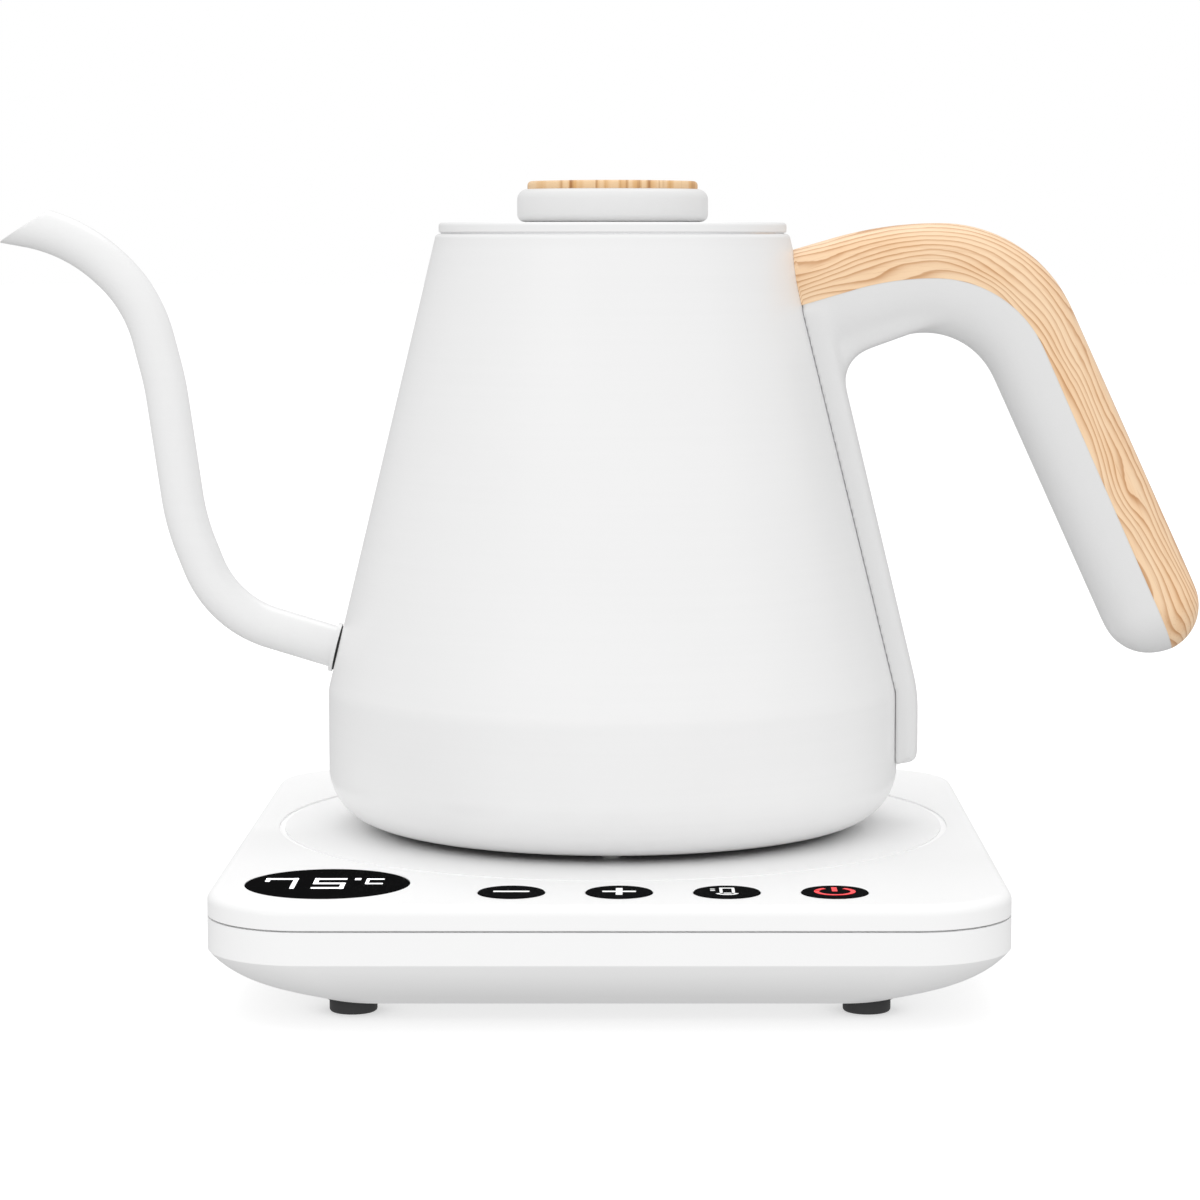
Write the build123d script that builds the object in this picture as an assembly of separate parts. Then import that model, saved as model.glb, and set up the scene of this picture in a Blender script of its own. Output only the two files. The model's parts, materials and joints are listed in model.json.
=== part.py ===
"""Electric gooseneck kettle on its heating base, one STEP file for each sub-part.

Lengths are millimetres. Each sub-part is drawn about the kettle's own axis, with z = 0 on the table,
the spout towards -X, the handle towards +X and the controls towards -Y. write() then moves it into
the part's frame, whose origin is at the middle of the whole object's footprint.
"""

from build123d import *
import math
import os

# ---- where the kettle's axis stands in the part's frame
AXIS_X = 2.6
AXIS_Y = 12.0

# ---- base
BASE_WIDTH = 192.0
BASE_DEPTH = 216.0
BASE_CORNER = 24.5
BASE_BACK = 12.0            # the base's middle lies this far in front of the kettle's axis
DECK_Z = 32.0
DECK_EDGE = 2.4
SEAM_Z = 26.2
SEAM_GAP = 0.45
SEAM_DEPTH = 1.4
BAND_Z = 17.9
BOTTOM_Z = 3.8
TUCK_IN = 24.0              # the underside's inset at its lowest
COVER_WALL = 2.5
FOOT_X = 62.2
FOOT_Y = 74.0
FOOT_R = 5.8
RING_R = 88.3
RING_WIDTH = 1.6
RING_DEPTH = 0.6

# ---- controls
BUTTON_R = 7.94
BUTTON_Y = -102.75
BUTTON_X0 = -23.2
BUTTON_PITCH = 25.55
BUTTON_GAP = 0.16
BUTTON_PROUD = 0.3
DISPLAY_R = 19.8
DISPLAY_X = -67.8
DISPLAY_Y = -91.0
BOARD_Z = 21.0
BOARD_T = 1.6
POWER_Z = 11.0

# ---- connector between base and kettle
HUB_R = 13.0
HUB_TOP = 44.0
SWIVEL_R = 19.3
SOCKET_R = 20.0
GROMMET_X = 40.0
GROMMET_Z = 22.0
CORD_R = 3.4
CONNECTOR_SCREW_R = 25.4

# ---- kettle body
BARREL_R = 75.0
BODY_BOTTOM = 33.65
BODY_FILLET = 14.0
SHOULDER_Z = 68.2
SHOULDER_FILLET = 12.0
MOUTH_R = 46.1
MOUTH_Z = 187.3
SHELL_T = 1.2
FLOOR_Z = 60.0
FLOOR_T = 0.8
PLATE_R = 48.0
PLATE_Z = 55.5
ELEMENT_R = 38.0
STUD_R = 54.0
KETTLE_FOOT_R = 57.5
FIT = 0.03                  # gap between fixed parts whose curved faces meet
SLOPE = (BARREL_R - MOUTH_R) / (MOUTH_Z - SHOULDER_Z)

# ---- spout
SPOUT_OD = 11.0
SPOUT_T = 0.8
SPOUT_ROUTE = [(-69.0, 77.3), (-103.0, 87.7), (-112.4, 111.8), (-117.5, 148.5),
               (-122.9, 169.8), (-139.8, 186.9), (-163.0, 191.1)]
SPOUT_BENDS = [28.0, 60.0, 80.0, 36.0, 42.0]
COLLAR_T = 0.8
TIP_LOW = (-159.7, 185.4)
TIP_HIGH = (-147.0, 193.2)

# ---- handle
GRIP_WIDTH = 26.0
GRIP_ROUND = 11.0
STRAP_WIDTH = 28.0
STRAP_PROUD = 5.0
STRAP_BOTTOM = 49.0
GRIP_OUTER = [(30.0, 178.2), (71.1, 190.1), (109.9, 190.1), (158.7, 83.3), (135.1, 72.5),
              (94.5, 161.4), (78.0, 161.4), (30.0, 144.6)]
GRIP_OUTER_BENDS = [100.0, 38.0, 12.9, 12.9, 20.0, 20.0]
GRIP_SPLIT = [(20.0, 160.5), (72.5, 175.9), (103.5, 175.9), (160.0, 50.3)]
GRIP_SPLIT_BENDS = [73.0, 31.0]
CORNER = (59.0, 154.7)      # inner corner where strap and arm meet, before it is rounded
CORNER_BEND = 9.0
DOWELS = [((66.0, 169.0), (63.6, 178.0)), ((101.5, 161.5), (109.8, 166.5)),
          ((127.0, 108.0), (138.0, 113.0))]

# ---- lid
LID_R = 45.4
LID_Z = 187.6
LID_TOP = 190.2
PLUG_R = 40.4
PLUG_Z = 179.0
MOUTH_BORE = 42.2
KNOB_R = 24.9
KNOB_TOP = 198.9
DISC_R = 22.2
DISC_TOP = 201.2


# ---------------------------------------------------------------- helpers
def write(name, *solids):
    """Move a sub-part into the part's frame and save it under its node name."""
    shape = Compound(children=[s for whole in solids for s in whole.solids()])
    export_step(shape.moved(Location((AXIS_X, AXIS_Y, 0.0))), "parts/" + name + ".step")


def disc(radius, z0, z1, x=0.0, y=0.0):
    """An upright cylinder from z0 to z1."""
    return Pos(x, y, (z0 + z1) / 2) * Cylinder(radius, z1 - z0)


def tube(outer, inner, z0, z1, x=0.0, y=0.0):
    """An upright ring from z0 to z1."""
    return disc(outer, z0, z1, x, y) - disc(inner, z0 - 1.0, z1 + 1.0, x, y)


def block(x0, x1, y0, y1, z0, z1):
    """A box between two corners."""
    return Pos((x0 + x1) / 2, (y0 + y1) / 2, (z0 + z1) / 2) * Box(x1 - x0, y1 - y0, z1 - z0)


def lathe(points):
    """A solid turned about the kettle's axis from a closed (radius, z) outline."""
    outline = Plane.XZ * make_face(Polyline(*points, close=True))
    return revolve(outline, Axis.Z)


def side_plate(wire, width):
    """An outline in the X-Z plane, given thickness along Y, half on each side."""
    return extrude(Plane.XZ * make_face(wire), width / 2, both=True)


def radius_at(z):
    """Outer radius of the body at a height on its cone or barrel."""
    return BARREL_R - SLOPE * max(0.0, z - SHOULDER_Z)


def cylinder_between(radius, start, end):
    """A round bar between two points of the X-Z plane."""
    run = Vector(end[0] - start[0], 0, end[1] - start[1])
    plane = Plane(origin=(start[0], 0, start[1]), z_dir=run)
    return extrude(plane * Circle(radius), run.length)


def rounded(width, depth, corner, z):
    """The base's plan outline at a height, centred on the base."""
    return Pos(0, -BASE_BACK, z) * RectangleRounded(width, depth, corner)


def around(count, radius, start_deg):
    """Points spaced evenly round the kettle's axis."""
    angles = [math.radians(start_deg + 360.0 * i / count) for i in range(count)]
    return [(radius * math.cos(a), radius * math.sin(a)) for a in angles]


# ---------------------------------------------------------------- base covers
def base_outer(inset, z_low):
    """The base's outer form, shrunk by inset, with its underside lowest at z_low."""
    steps = [(0.0, BAND_Z), (3.3, 14.2), (12.0, 8.6), (TUCK_IN, BOTTOM_Z)]
    lift = z_low - BOTTOM_Z
    sections = []
    for tuck, z in steps:
        cut = 2 * (tuck + inset)
        corner = max(8.0, BASE_CORNER - inset - 0.35 * tuck)
        sections.append(rounded(BASE_WIDTH - cut, BASE_DEPTH - cut, corner, z + lift))
    belly = loft(sections)
    top_z = DECK_Z - inset
    plan = rounded(BASE_WIDTH - 2 * inset, BASE_DEPTH - 2 * inset, BASE_CORNER - inset, BAND_Z + lift)
    band = extrude(plan, top_z - BAND_Z - lift)
    top_edges = band.faces().sort_by(Axis.Z)[-1].edges()
    return belly + fillet(top_edges, max(0.6, DECK_EDGE - inset / 2))


def screw_points():
    """Where the base's four cover screws stand."""
    return [(sx * 66.0, -BASE_BACK + sy * 58.0) for sx in (-1, 1) for sy in (-1, 1)]


def foot_points():
    """Where the base's four rubber feet stand."""
    return [(sx * FOOT_X, -BASE_BACK + sy * FOOT_Y) for sx in (-1, 1) for sy in (-1, 1)]


def button_points():
    """Centres of the four buttons, from left to right."""
    return [(BUTTON_X0 + i * BUTTON_PITCH, BUTTON_Y) for i in range(4)]


def board_posts():
    """Where the two circuit boards are screwed down: control board, then power board."""
    control = [(x, y) for x in (-79.0, 68.0) for y in (-107.0, -80.0)]
    power = [(x, y) for x in (-48.0, 26.0) for y in (30.0, 62.0)]
    return control, power


def grommet_bar(radius, inner, outer):
    """A bar on the cord's axis, from inner to outer behind the base's rear face."""
    rear = BASE_DEPTH / 2 - BASE_BACK
    plane = Plane(origin=(GROMMET_X, rear + inner, GROMMET_Z), z_dir=(0, 1, 0))
    return extrude(plane * Circle(radius), outer - inner)


def make_base_covers(outer):
    """Upper and lower casing of the base, parted at the seam."""
    hollow = outer - base_outer(COVER_WALL, BOTTOM_Z + COVER_WALL)
    above = block(-200, 200, -200, 200, SEAM_Z, 60)
    top = hollow & above
    bottom = hollow - above
    bottom -= block(-200, 200, -200, 200, SEAM_Z - SEAM_GAP, SEAM_Z) - base_outer(SEAM_DEPTH, BOTTOM_Z)

    top -= tube(RING_R, RING_R - RING_WIDTH, DECK_Z - RING_DEPTH, DECK_Z + 1)
    top -= disc(24.0, DECK_Z - 5, DECK_Z + 1)
    top -= disc(DISPLAY_R + 0.1, DECK_Z - 1.8, DECK_Z + 1, DISPLAY_X, DISPLAY_Y)
    top -= disc(DISPLAY_R - 1.4, DECK_Z - 5, DECK_Z + 1, DISPLAY_X, DISPLAY_Y)
    for x, y in button_points():
        top -= disc(BUTTON_R + BUTTON_GAP, DECK_Z - 5, DECK_Z + 1, x, y)
    for x, y in screw_points():
        post = disc(3.6, 9.0, DECK_Z - COVER_WALL, x, y)
        top += post - disc(1.5, 8.0, 22.0, x, y)
    for x, y in board_posts()[0]:
        top += tube(2.6, 1.25, BOARD_Z + BOARD_T, DECK_Z - COVER_WALL, x, y)
    lip = block(-200, 200, -200, 200, SEAM_Z - 2.2, SEAM_Z + 1)
    lip &= base_outer(COVER_WALL, BOTTOM_Z + COVER_WALL)
    lip -= base_outer(COVER_WALL + 1.2, BOTTOM_Z + COVER_WALL + 1.2)
    top += lip
    for x, y in around(3, CONNECTOR_SCREW_R, 30):
        top -= disc(1.15, DECK_Z - 5, DECK_Z - 1.0, x, y)
    passage = grommet_bar(5.0, -20.0, 5.0) + grommet_bar(6.7, -20.0, -COVER_WALL)
    top -= passage

    for x, y in screw_points():
        bottom += disc(5.5, BOTTOM_Z + 1.0, 9.0, x, y) & outer
        bottom -= disc(3.2, 0.0, 6.6, x, y)
        bottom -= disc(1.7, 0.0, 12.0, x, y)
    for x, y in foot_points():
        bottom -= disc(FOOT_R + 1.2, 0.0, BOTTOM_Z + 0.8, x, y)
    for x, y in board_posts()[1]:
        bottom += tube(3.0, 1.25, BOTTOM_Z + COVER_WALL - 0.5, POWER_Z, x, y)
    bottom -= passage
    write("base_top_cover", top)
    write("base_bottom_cover", bottom)


def make_base_fasteners():
    """Cover screws and the rubber feet that the base stands on."""
    screws = [disc(2.9, 4.6, 6.6, x, y) + disc(1.45, 6.6, 20.0, x, y) for x, y in screw_points()]
    feet = []
    for x, y in foot_points():
        foot = disc(FOOT_R, 0.0, BOTTOM_Z + 0.8, x, y)
        foot = fillet(foot.edges().group_by(Axis.Z)[0], 0.8)
        feet.append(foot + disc(FOOT_R + 1.1, BOTTOM_Z - 0.4, BOTTOM_Z + 0.8, x, y))
    write("base_screws", *screws)
    write("base_feet", *feet)


def make_controls():
    """Display, buttons, and the board that they work on."""
    window = disc(DISPLAY_R, DECK_Z - 1.8, DECK_Z, DISPLAY_X, DISPLAY_Y)
    write("display_window", fillet(window.edges().group_by(Axis.Z)[-1], 0.3))
    board_top = BOARD_Z + BOARD_T
    write("display_module", block(DISPLAY_X - 13, DISPLAY_X + 13, DISPLAY_Y - 8, DISPLAY_Y + 8,
                                  board_top, DECK_Z - 1.8))
    board = block(-84, 73, -111, -76, BOARD_Z, board_top)
    for x, y in board_posts()[0]:
        board -= disc(1.25, BOARD_Z - 1, board_top + 1, x, y)
    switches = []
    under = DECK_Z - COVER_WALL
    for (x, y), name in zip(button_points(), ("minus", "plus", "warm", "power")):
        cap = disc(BUTTON_R, under - 0.1, DECK_Z + BUTTON_PROUD, x, y)
        cap = fillet(cap.edges().group_by(Axis.Z)[-1], 0.25)
        flange = disc(BUTTON_R + 1.2, under - 0.9, under, x, y)
        stem = disc(1.8, under - 2.4, under - 0.9, x, y)
        write("button_" + name, cap + flange + stem)
        switch = block(x - 3, x + 3, y - 3, y + 3, board_top, board_top + 3.0)
        switches.append(switch + disc(1.6, board_top + 3.0, under - 3.1, x, y))
    write("control_board", board)
    write("tact_switches", *switches)


def make_power_parts():
    """Board at the back of the base with the parts that switch and feed the heater."""
    top = POWER_Z + BOARD_T
    board = block(-53, 31, 26, 66, POWER_Z, top)
    for x, y in board_posts()[1]:
        board -= disc(1.25, POWER_Z - 1, top + 1, x, y)
    write("power_board", board)
    write("power_relay", block(-42, -23, 38, 54, top, top + 14.5))
    write("power_transformer", block(-16, 6, 36, 56, top, top + 13.0))
    write("filter_capacitor", disc(5.0, top, top + 14.0, 16, 38))
    write("buzzer", disc(6.0, top, top + 8.0, 18, 54) - disc(1.0, top + 6.0, top + 9.0, 18, 54))
    screws = []
    for x, y in board_posts()[0]:
        screws.append(disc(2.3, BOARD_Z - 1.6, BOARD_Z, x, y) + disc(1.2, BOARD_Z, 27.0, x, y))
    for x, y in board_posts()[1]:
        screws.append(disc(2.3, top, top + 1.6, x, y) + disc(1.2, 7.5, top, x, y))
    write("board_screws", *screws)


def make_grommet():
    """Rubber grommet that guides the cord through the rear wall."""
    body = grommet_bar(4.95, -COVER_WALL - 0.4, 0.0) + grommet_bar(6.2, 0.0, 0.8)
    body += grommet_bar(6.4, -COVER_WALL - 2.4, -COVER_WALL - 0.1)
    write("cord_grommet", body - grommet_bar(CORD_R, -10.0, 5.0))


# ---------------------------------------------------------------- connector
def make_connector():
    """The round socket on the base, the ring that turns on it, and its contacts."""
    housing = disc(23.9, DECK_Z - 8.0, DECK_Z) + disc(27.0, DECK_Z - 8.0, DECK_Z - COVER_WALL)
    hub = disc(HUB_R, DECK_Z, HUB_TOP)
    hub = fillet(hub.edges().group_by(Axis.Z)[-1], 1.0)
    housing += hub
    housing -= disc(4.2, DECK_Z - 2, HUB_TOP + 1)
    housing -= tube(7.9, 5.6, DECK_Z - 2, HUB_TOP + 1)
    housing -= tube(11.3, 9.0, DECK_Z - 2, HUB_TOP + 1)
    screws = []
    for x, y in around(3, CONNECTOR_SCREW_R, 30):
        housing -= disc(1.15, DECK_Z - 9, DECK_Z, x, y)
        screws.append(disc(1.5, DECK_Z - 9.6, DECK_Z - 8, x, y) + disc(1.1, DECK_Z - 8, DECK_Z - 1.2, x, y))
    write("connector_screws", *screws)
    write("base_connector", housing)
    contacts = [tube(4.1, 2.6, DECK_Z - 2, DECK_Z + 3),
                tube(7.8, 6.9, DECK_Z - 2, DECK_Z + 1),
                tube(11.2, 10.3, DECK_Z - 2, DECK_Z + 1)]
    write("base_contacts", *contacts)
    ring = tube(SWIVEL_R, HUB_R + 0.08, DECK_Z, DECK_Z + 5.0)
    ring = chamfer(ring.faces().sort_by(Axis.Z)[-1].edges(), 0.6)
    write("swivel_ring", ring)


def make_kettle_connector():
    """The socket in the kettle's underside, with its three contacts."""
    top = 49.0
    shell = disc(23.0, BODY_BOTTOM, top) - disc(SOCKET_R, BODY_BOTTOM - 1, top - 2.5)
    shell -= disc(2.23, top - 4, top + 1)
    write("kettle_connector", shell)
    pin = disc(2.2, DECK_Z + 3.5, top + 3.0)
    pin = fillet(pin.edges().group_by(Axis.Z)[0], 0.8)
    rings = [tube(6.6, 6.0, DECK_Z + 3.5, top - 2.5), tube(10.0, 9.4, DECK_Z + 3.5, top - 2.5)]
    write("kettle_contacts", pin, *rings)


# ---------------------------------------------------------------- kettle body
def body_solid(inset):
    """The body's turned form, filled, shrunk by inset."""
    across = inset / math.cos(math.atan(SLOPE))
    low = BODY_BOTTOM + inset
    barrel = BARREL_R - inset
    bend = SHOULDER_Z - inset * (across / inset - 1) / SLOPE if inset else SHOULDER_Z
    over = 3.0 if inset else 0.0
    mouth = MOUTH_R - across - SLOPE * over
    line = FilletPolyline((0, low), (barrel, low), (barrel, bend), (mouth, MOUTH_Z + over),
                          (0, MOUTH_Z + over), (0, low), radius=[0, BODY_FILLET - inset,
                                                                 SHOULDER_FILLET, 0, 0])
    return revolve(Plane.XZ * make_face(line), Axis.Z)


def spout_path():
    """The spout's centre line."""
    points = [(x, 0, z) for x, z in SPOUT_ROUTE]
    return FilletPolyline(*points, radius=SPOUT_BENDS)


def spout_bar(radius):
    """A round bar along the spout's centre line, cut slantwise at the tip."""
    route = spout_path()
    bar = sweep(Plane(origin=route @ 0, z_dir=route % 0) * Circle(radius), path=route)
    run = Vector(TIP_HIGH[0] - TIP_LOW[0], 0, TIP_HIGH[1] - TIP_LOW[1]).normalized()
    up = Vector(-run.Z, 0, run.X)
    knife = Plane(origin=(TIP_LOW[0], 0, TIP_LOW[1]), z_dir=up)
    return bar - extrude(knife * Rectangle(80, 80), 40)


def make_body():
    """Shell, mouth ring, vessel floor, spout and its collar."""
    outer = body_solid(0.0)
    shell = outer - body_solid(SHELL_T)
    shell -= disc(61.0, BODY_BOTTOM - 1, BODY_BOTTOM + 5)
    entry = cylinder_between(SPOUT_OD / 2 + FIT, SPOUT_ROUTE[0], SPOUT_ROUTE[1])
    shell -= entry
    write("kettle_shell", shell)

    inner = MOUTH_R - SHELL_T / math.cos(math.atan(SLOPE)) - FIT
    ring_low = MOUTH_Z - 9.0
    write("mouth_ring", lathe([(MOUTH_BORE, LID_Z), (inner, LID_Z), (inner, MOUTH_Z),
                               (inner + SLOPE * 9.0, ring_low), (inner + 0.8, ring_low),
                               (MOUTH_BORE + 0.8, MOUTH_Z - 2.0), (MOUTH_BORE, MOUTH_Z - 2.0)]))
    floor_r = BARREL_R - SHELL_T - FIT
    floor = disc(floor_r, FLOOR_Z, FLOOR_Z + FLOOR_T)
    floor += tube(floor_r, floor_r - 0.8, FLOOR_Z, FLOOR_Z + 5)
    write("vessel_floor", floor - disc(3.2, FLOOR_Z - 1, FLOOR_Z + 2))

    write("spout_tube", spout_bar(SPOUT_OD / 2) - spout_bar(SPOUT_OD / 2 - SPOUT_T))
    flange = cylinder_between(SPOUT_OD / 2 + 0.6, SPOUT_ROUTE[0], SPOUT_ROUTE[1]) - entry
    write("spout_collar", (flange & body_solid(-COLLAR_T)) - outer)


def make_heater():
    """Heater plate, its element, cut-outs, fuse and the water probe."""
    centre_z = PLATE_Z - 1.5
    section = Plane.XZ * Pos(ELEMENT_R, 0) * Circle(3.6)
    element = Pos(0, 0, centre_z) * Rot(0, 0, 25) * revolve(section, Axis.Z, 310)
    plate = disc(PLATE_R, PLATE_Z, FLOOR_Z) - disc(3.2, PLATE_Z - 1, FLOOR_Z + 1)
    write("heat_plate", plate - element)
    write("heating_element", element)
    ends = [around(1, ELEMENT_R, angle)[0] for angle in (28, 332)]
    write("element_terminals", *[disc(1.4, 42.0, centre_z, x, y) - element for x, y in ends])
    write("thermal_cutouts", *[disc(7.5, 49.3, PLATE_Z, x, -18) for x in (-20, 20)])
    fuse = Pos(0, 24.0, PLATE_Z - 2.0) * Rot(0, 90, 0) * Cylinder(2.0, 12.0)
    write("thermal_fuse", fuse)
    probe = disc(2.0, 52.0, 72.0)
    probe = fillet(probe.edges().group_by(Axis.Z)[-1], 1.6)
    write("temperature_probe", probe + disc(4.6, 52.0, 53.5))
    bore = 2.0 + FIT
    seal = tube(3.2 - FIT, bore, PLATE_Z, FLOOR_Z + FLOOR_T)
    write("probe_seal", seal + tube(5.4, bore, FLOOR_Z + FLOOR_T, 62.2))


def make_underside():
    """Plastic cover under the kettle, its screws and studs, and its rubber feet."""
    cover = disc(60.9, BODY_BOTTOM, 36.0) + disc(62.2, 34.95, 36.6) - disc(23.05, 30, 40)
    studs, screws, feet = [], [], []
    for x, y in around(3, STUD_R, 90):
        studs.append(disc(3.0, 37.2, FLOOR_Z, x, y) - disc(1.5, 36, 50, x, y))
        cover += disc(4.6, 35.0, 37.2, x, y)
        cover -= disc(3.2, 30.0, 35.4, x, y)
        cover -= disc(1.7, 30.0, 40.0, x, y)
        screws.append(disc(2.8, 34.0, 35.4, x, y) + disc(1.45, 35.4, 48.0, x, y))
    for x, y in around(3, KETTLE_FOOT_R - 2.0, -90):
        cover -= disc(2.0, 30.0, 40.0, x, y)
        feet.append(disc(2.5, DECK_Z, BODY_BOTTOM, x, y) + disc(2.0 - FIT, BODY_BOTTOM, 36.6, x, y))
    write("bottom_cover", cover)
    write("floor_studs", *studs)
    write("bottom_screws", *screws)
    write("kettle_feet", *feet)


# ---------------------------------------------------------------- handle
def grip_solid():
    """The whole grip, arm and leg, with its edges well rounded."""
    line = FilletPolyline(*GRIP_OUTER, radius=[0] + GRIP_OUTER_BENDS + [0], close=True)
    grip = side_plate(line, GRIP_WIDTH)
    rims = [e for e in grip.edges() if abs(abs(e.center().Y) - GRIP_WIDTH / 2) < 0.01
            and e.center().X > 31.0]
    return fillet(rims, GRIP_ROUND)


def strap_solid():
    """The strap that lies along the body and carries the arm."""
    def face_x(z):
        return radius_at(z) + STRAP_PROUD
    top = 166.0
    line = FilletPolyline((30, top), (face_x(top), top), (face_x(SHOULDER_Z), SHOULDER_Z),
                          (face_x(SHOULDER_Z), STRAP_BOTTOM), (30, STRAP_BOTTOM),
                          radius=[0, 0, 9.0, 1.6, 0], close=True)
    strap = side_plate(line, STRAP_WIDTH)
    rims = [e for e in strap.edges() if abs(abs(e.center().Y) - STRAP_WIDTH / 2) < 0.01
            and e.center().X > 45.0 and e.center().Z < top - 1.0]
    return fillet(rims, 1.4)


def corner_solid():
    """The web that rounds the inner corner between strap and arm."""
    low = CORNER[1] - 12.0
    line = FilletPolyline((40, low), (radius_at(low) + STRAP_PROUD, low), CORNER,
                          (CORNER[0] + 16.0, CORNER[1] + 5.6), (CORNER[0] + 14.0, 168.0), (40, 168.0),
                          radius=[0, 0, CORNER_BEND, 0, 0, 0], close=True)
    return side_plate(line, 22.0)


def bracket_plate():
    """Steel strip welded to the body inside the strap's back."""
    z0, z1 = 84.0, 150.0
    line = Polyline((radius_at(z0) - 0.2, z0), (radius_at(z0) + 1.6, z0), (radius_at(z1) + 1.6, z1),
                    (radius_at(z1) - 0.2, z1), close=True)
    return side_plate(line, 12.0) - body_solid(0.0)


def make_handle():
    """Moulded frame, wooden grip, the dowels between them, and the bracket inside."""
    outer = body_solid(-FIT)
    grip = grip_solid() - outer
    split = FilletPolyline(*GRIP_SPLIT, radius=GRIP_SPLIT_BENDS)
    low, high = GRIP_SPLIT[-1], GRIP_SPLIT[0]
    beyond = Polyline(low, (260.0, low[1]), (260.0, 260.0), (high[0], 260.0), high)
    wood_zone = side_plate(split + beyond, 80.0)
    wood = grip & wood_zone
    frame = (grip - wood_zone) + (strap_solid() - outer) + (corner_solid() - outer - wood_zone)
    dowels = [cylinder_between(2.0, start, end) for start, end in DOWELS]
    for start, end in DOWELS:
        hole = cylinder_between(2.0 + FIT, start, end)
        wood -= hole
        frame -= hole
    bracket = bracket_plate()
    write("handle_frame", frame - bracket)
    write("handle_grip", wood)
    write("grip_dowels", *dowels)
    write("handle_bracket", bracket)


# ---------------------------------------------------------------- lid
def make_lid():
    """Lid plate with its plug and gasket."""
    roof = LID_TOP - 1.0
    skirt = LID_R - 1.4
    plate = lathe([(0, roof), (skirt, roof), (skirt, LID_Z), (LID_R, LID_Z), (LID_R, LID_TOP),
                   (0, LID_TOP)])
    rims = plate.edges().filter_by(GeomType.CIRCLE).group_by(Axis.Z)[-1]
    write("lid_shell", fillet(rims, 0.7) - disc(2.1, LID_Z, LID_TOP + 1))

    liner = disc(PLUG_R, PLUG_Z, roof) - disc(PLUG_R - 0.8, PLUG_Z + 0.8, roof + 1)
    liner += tube(PLUG_R + 2.6, PLUG_R - 0.8, roof - 0.8, roof)
    liner += disc(4.5, PLUG_Z, roof)
    write("lid_liner", liner - disc(2.1, PLUG_Z - 1, roof + 1))
    write("lid_gasket", tube(PLUG_R + 1.4, PLUG_R + FIT, PLUG_Z + 1.5, PLUG_Z + 6.5))


def make_knob():
    """Knob, the wooden disc let into its top, and the screw that holds it."""
    seat = KNOB_R - 1.8
    knob = lathe([(0, LID_TOP), (seat, LID_TOP), (seat, LID_TOP + 0.2), (KNOB_R, LID_TOP + 0.2),
                  (KNOB_R, KNOB_TOP), (0, KNOB_TOP)])
    rims = [e for e in knob.edges().filter_by(GeomType.CIRCLE) if abs(e.radius - KNOB_R) < 0.01]
    low_rim, high_rim = sorted(rims, key=lambda e: e.center().Z)
    knob = fillet(low_rim, 1.6)
    high_rim = max(knob.edges().filter_by(GeomType.CIRCLE), key=lambda e: e.center().Z)
    knob = fillet(high_rim, 2.2)
    knob -= tube(KNOB_R - 4.0, 7.0, LID_TOP - 1, KNOB_TOP - 2.6)
    write("knob_body", knob - disc(2.0 + FIT, LID_TOP - 1, KNOB_TOP - 2.0))
    top = disc(DISC_R, KNOB_TOP, DISC_TOP)
    write("knob_disc", fillet(top.edges().group_by(Axis.Z)[-1], 0.9))
    write("knob_screw", disc(3.6, PLUG_Z - 1.8, PLUG_Z) + disc(2.0, PLUG_Z, KNOB_TOP - 2.4))


def main():
    """Build every sub-part."""
    os.makedirs("parts", exist_ok=True)
    outer = base_outer(0.0, BOTTOM_Z)
    make_base_covers(outer)
    make_base_fasteners()
    make_controls()
    make_power_parts()
    make_grommet()
    make_connector()
    make_kettle_connector()
    make_body()
    make_heater()
    make_underside()
    make_handle()
    make_lid()
    make_knob()


main()
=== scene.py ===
"""Electric gooseneck kettle on its heating base: the finished look, built round the packed frame.

Sizes in the classes are millimetres about the kettle's own upright axis, as on a maker's drawing:
-X to the spout, +X to the handle, -Y to the controls, z = 0 on the table. Axis.place() turns them
into metres in the row's frame.
"""

from __future__ import annotations

import json
import logging
import math
from dataclasses import dataclass, field
from enum import Enum
from typing import Iterable, Sequence, Union

import bmesh
import bpy
import numpy as np
from mathutils import Matrix, Vector


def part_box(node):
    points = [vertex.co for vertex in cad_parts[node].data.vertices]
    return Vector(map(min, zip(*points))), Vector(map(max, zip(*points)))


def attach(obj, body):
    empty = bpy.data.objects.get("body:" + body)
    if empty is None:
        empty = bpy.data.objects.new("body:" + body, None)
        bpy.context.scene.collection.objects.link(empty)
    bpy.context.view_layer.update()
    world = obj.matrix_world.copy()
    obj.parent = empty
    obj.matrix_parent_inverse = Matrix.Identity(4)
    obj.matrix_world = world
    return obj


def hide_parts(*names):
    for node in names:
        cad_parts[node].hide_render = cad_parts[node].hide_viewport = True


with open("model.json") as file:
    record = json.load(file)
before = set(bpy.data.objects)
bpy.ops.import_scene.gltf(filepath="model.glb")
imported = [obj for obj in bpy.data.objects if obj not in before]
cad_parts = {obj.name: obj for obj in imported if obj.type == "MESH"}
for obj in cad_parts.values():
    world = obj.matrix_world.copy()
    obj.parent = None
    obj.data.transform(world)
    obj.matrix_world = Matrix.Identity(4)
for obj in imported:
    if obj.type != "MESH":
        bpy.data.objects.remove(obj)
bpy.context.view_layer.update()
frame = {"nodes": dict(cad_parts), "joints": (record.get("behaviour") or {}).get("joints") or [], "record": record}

MM = 0.001
LOG = logging.getLogger("kettle")
Colour = tuple[float, float, float]
Point2 = tuple[float, float]


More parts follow.
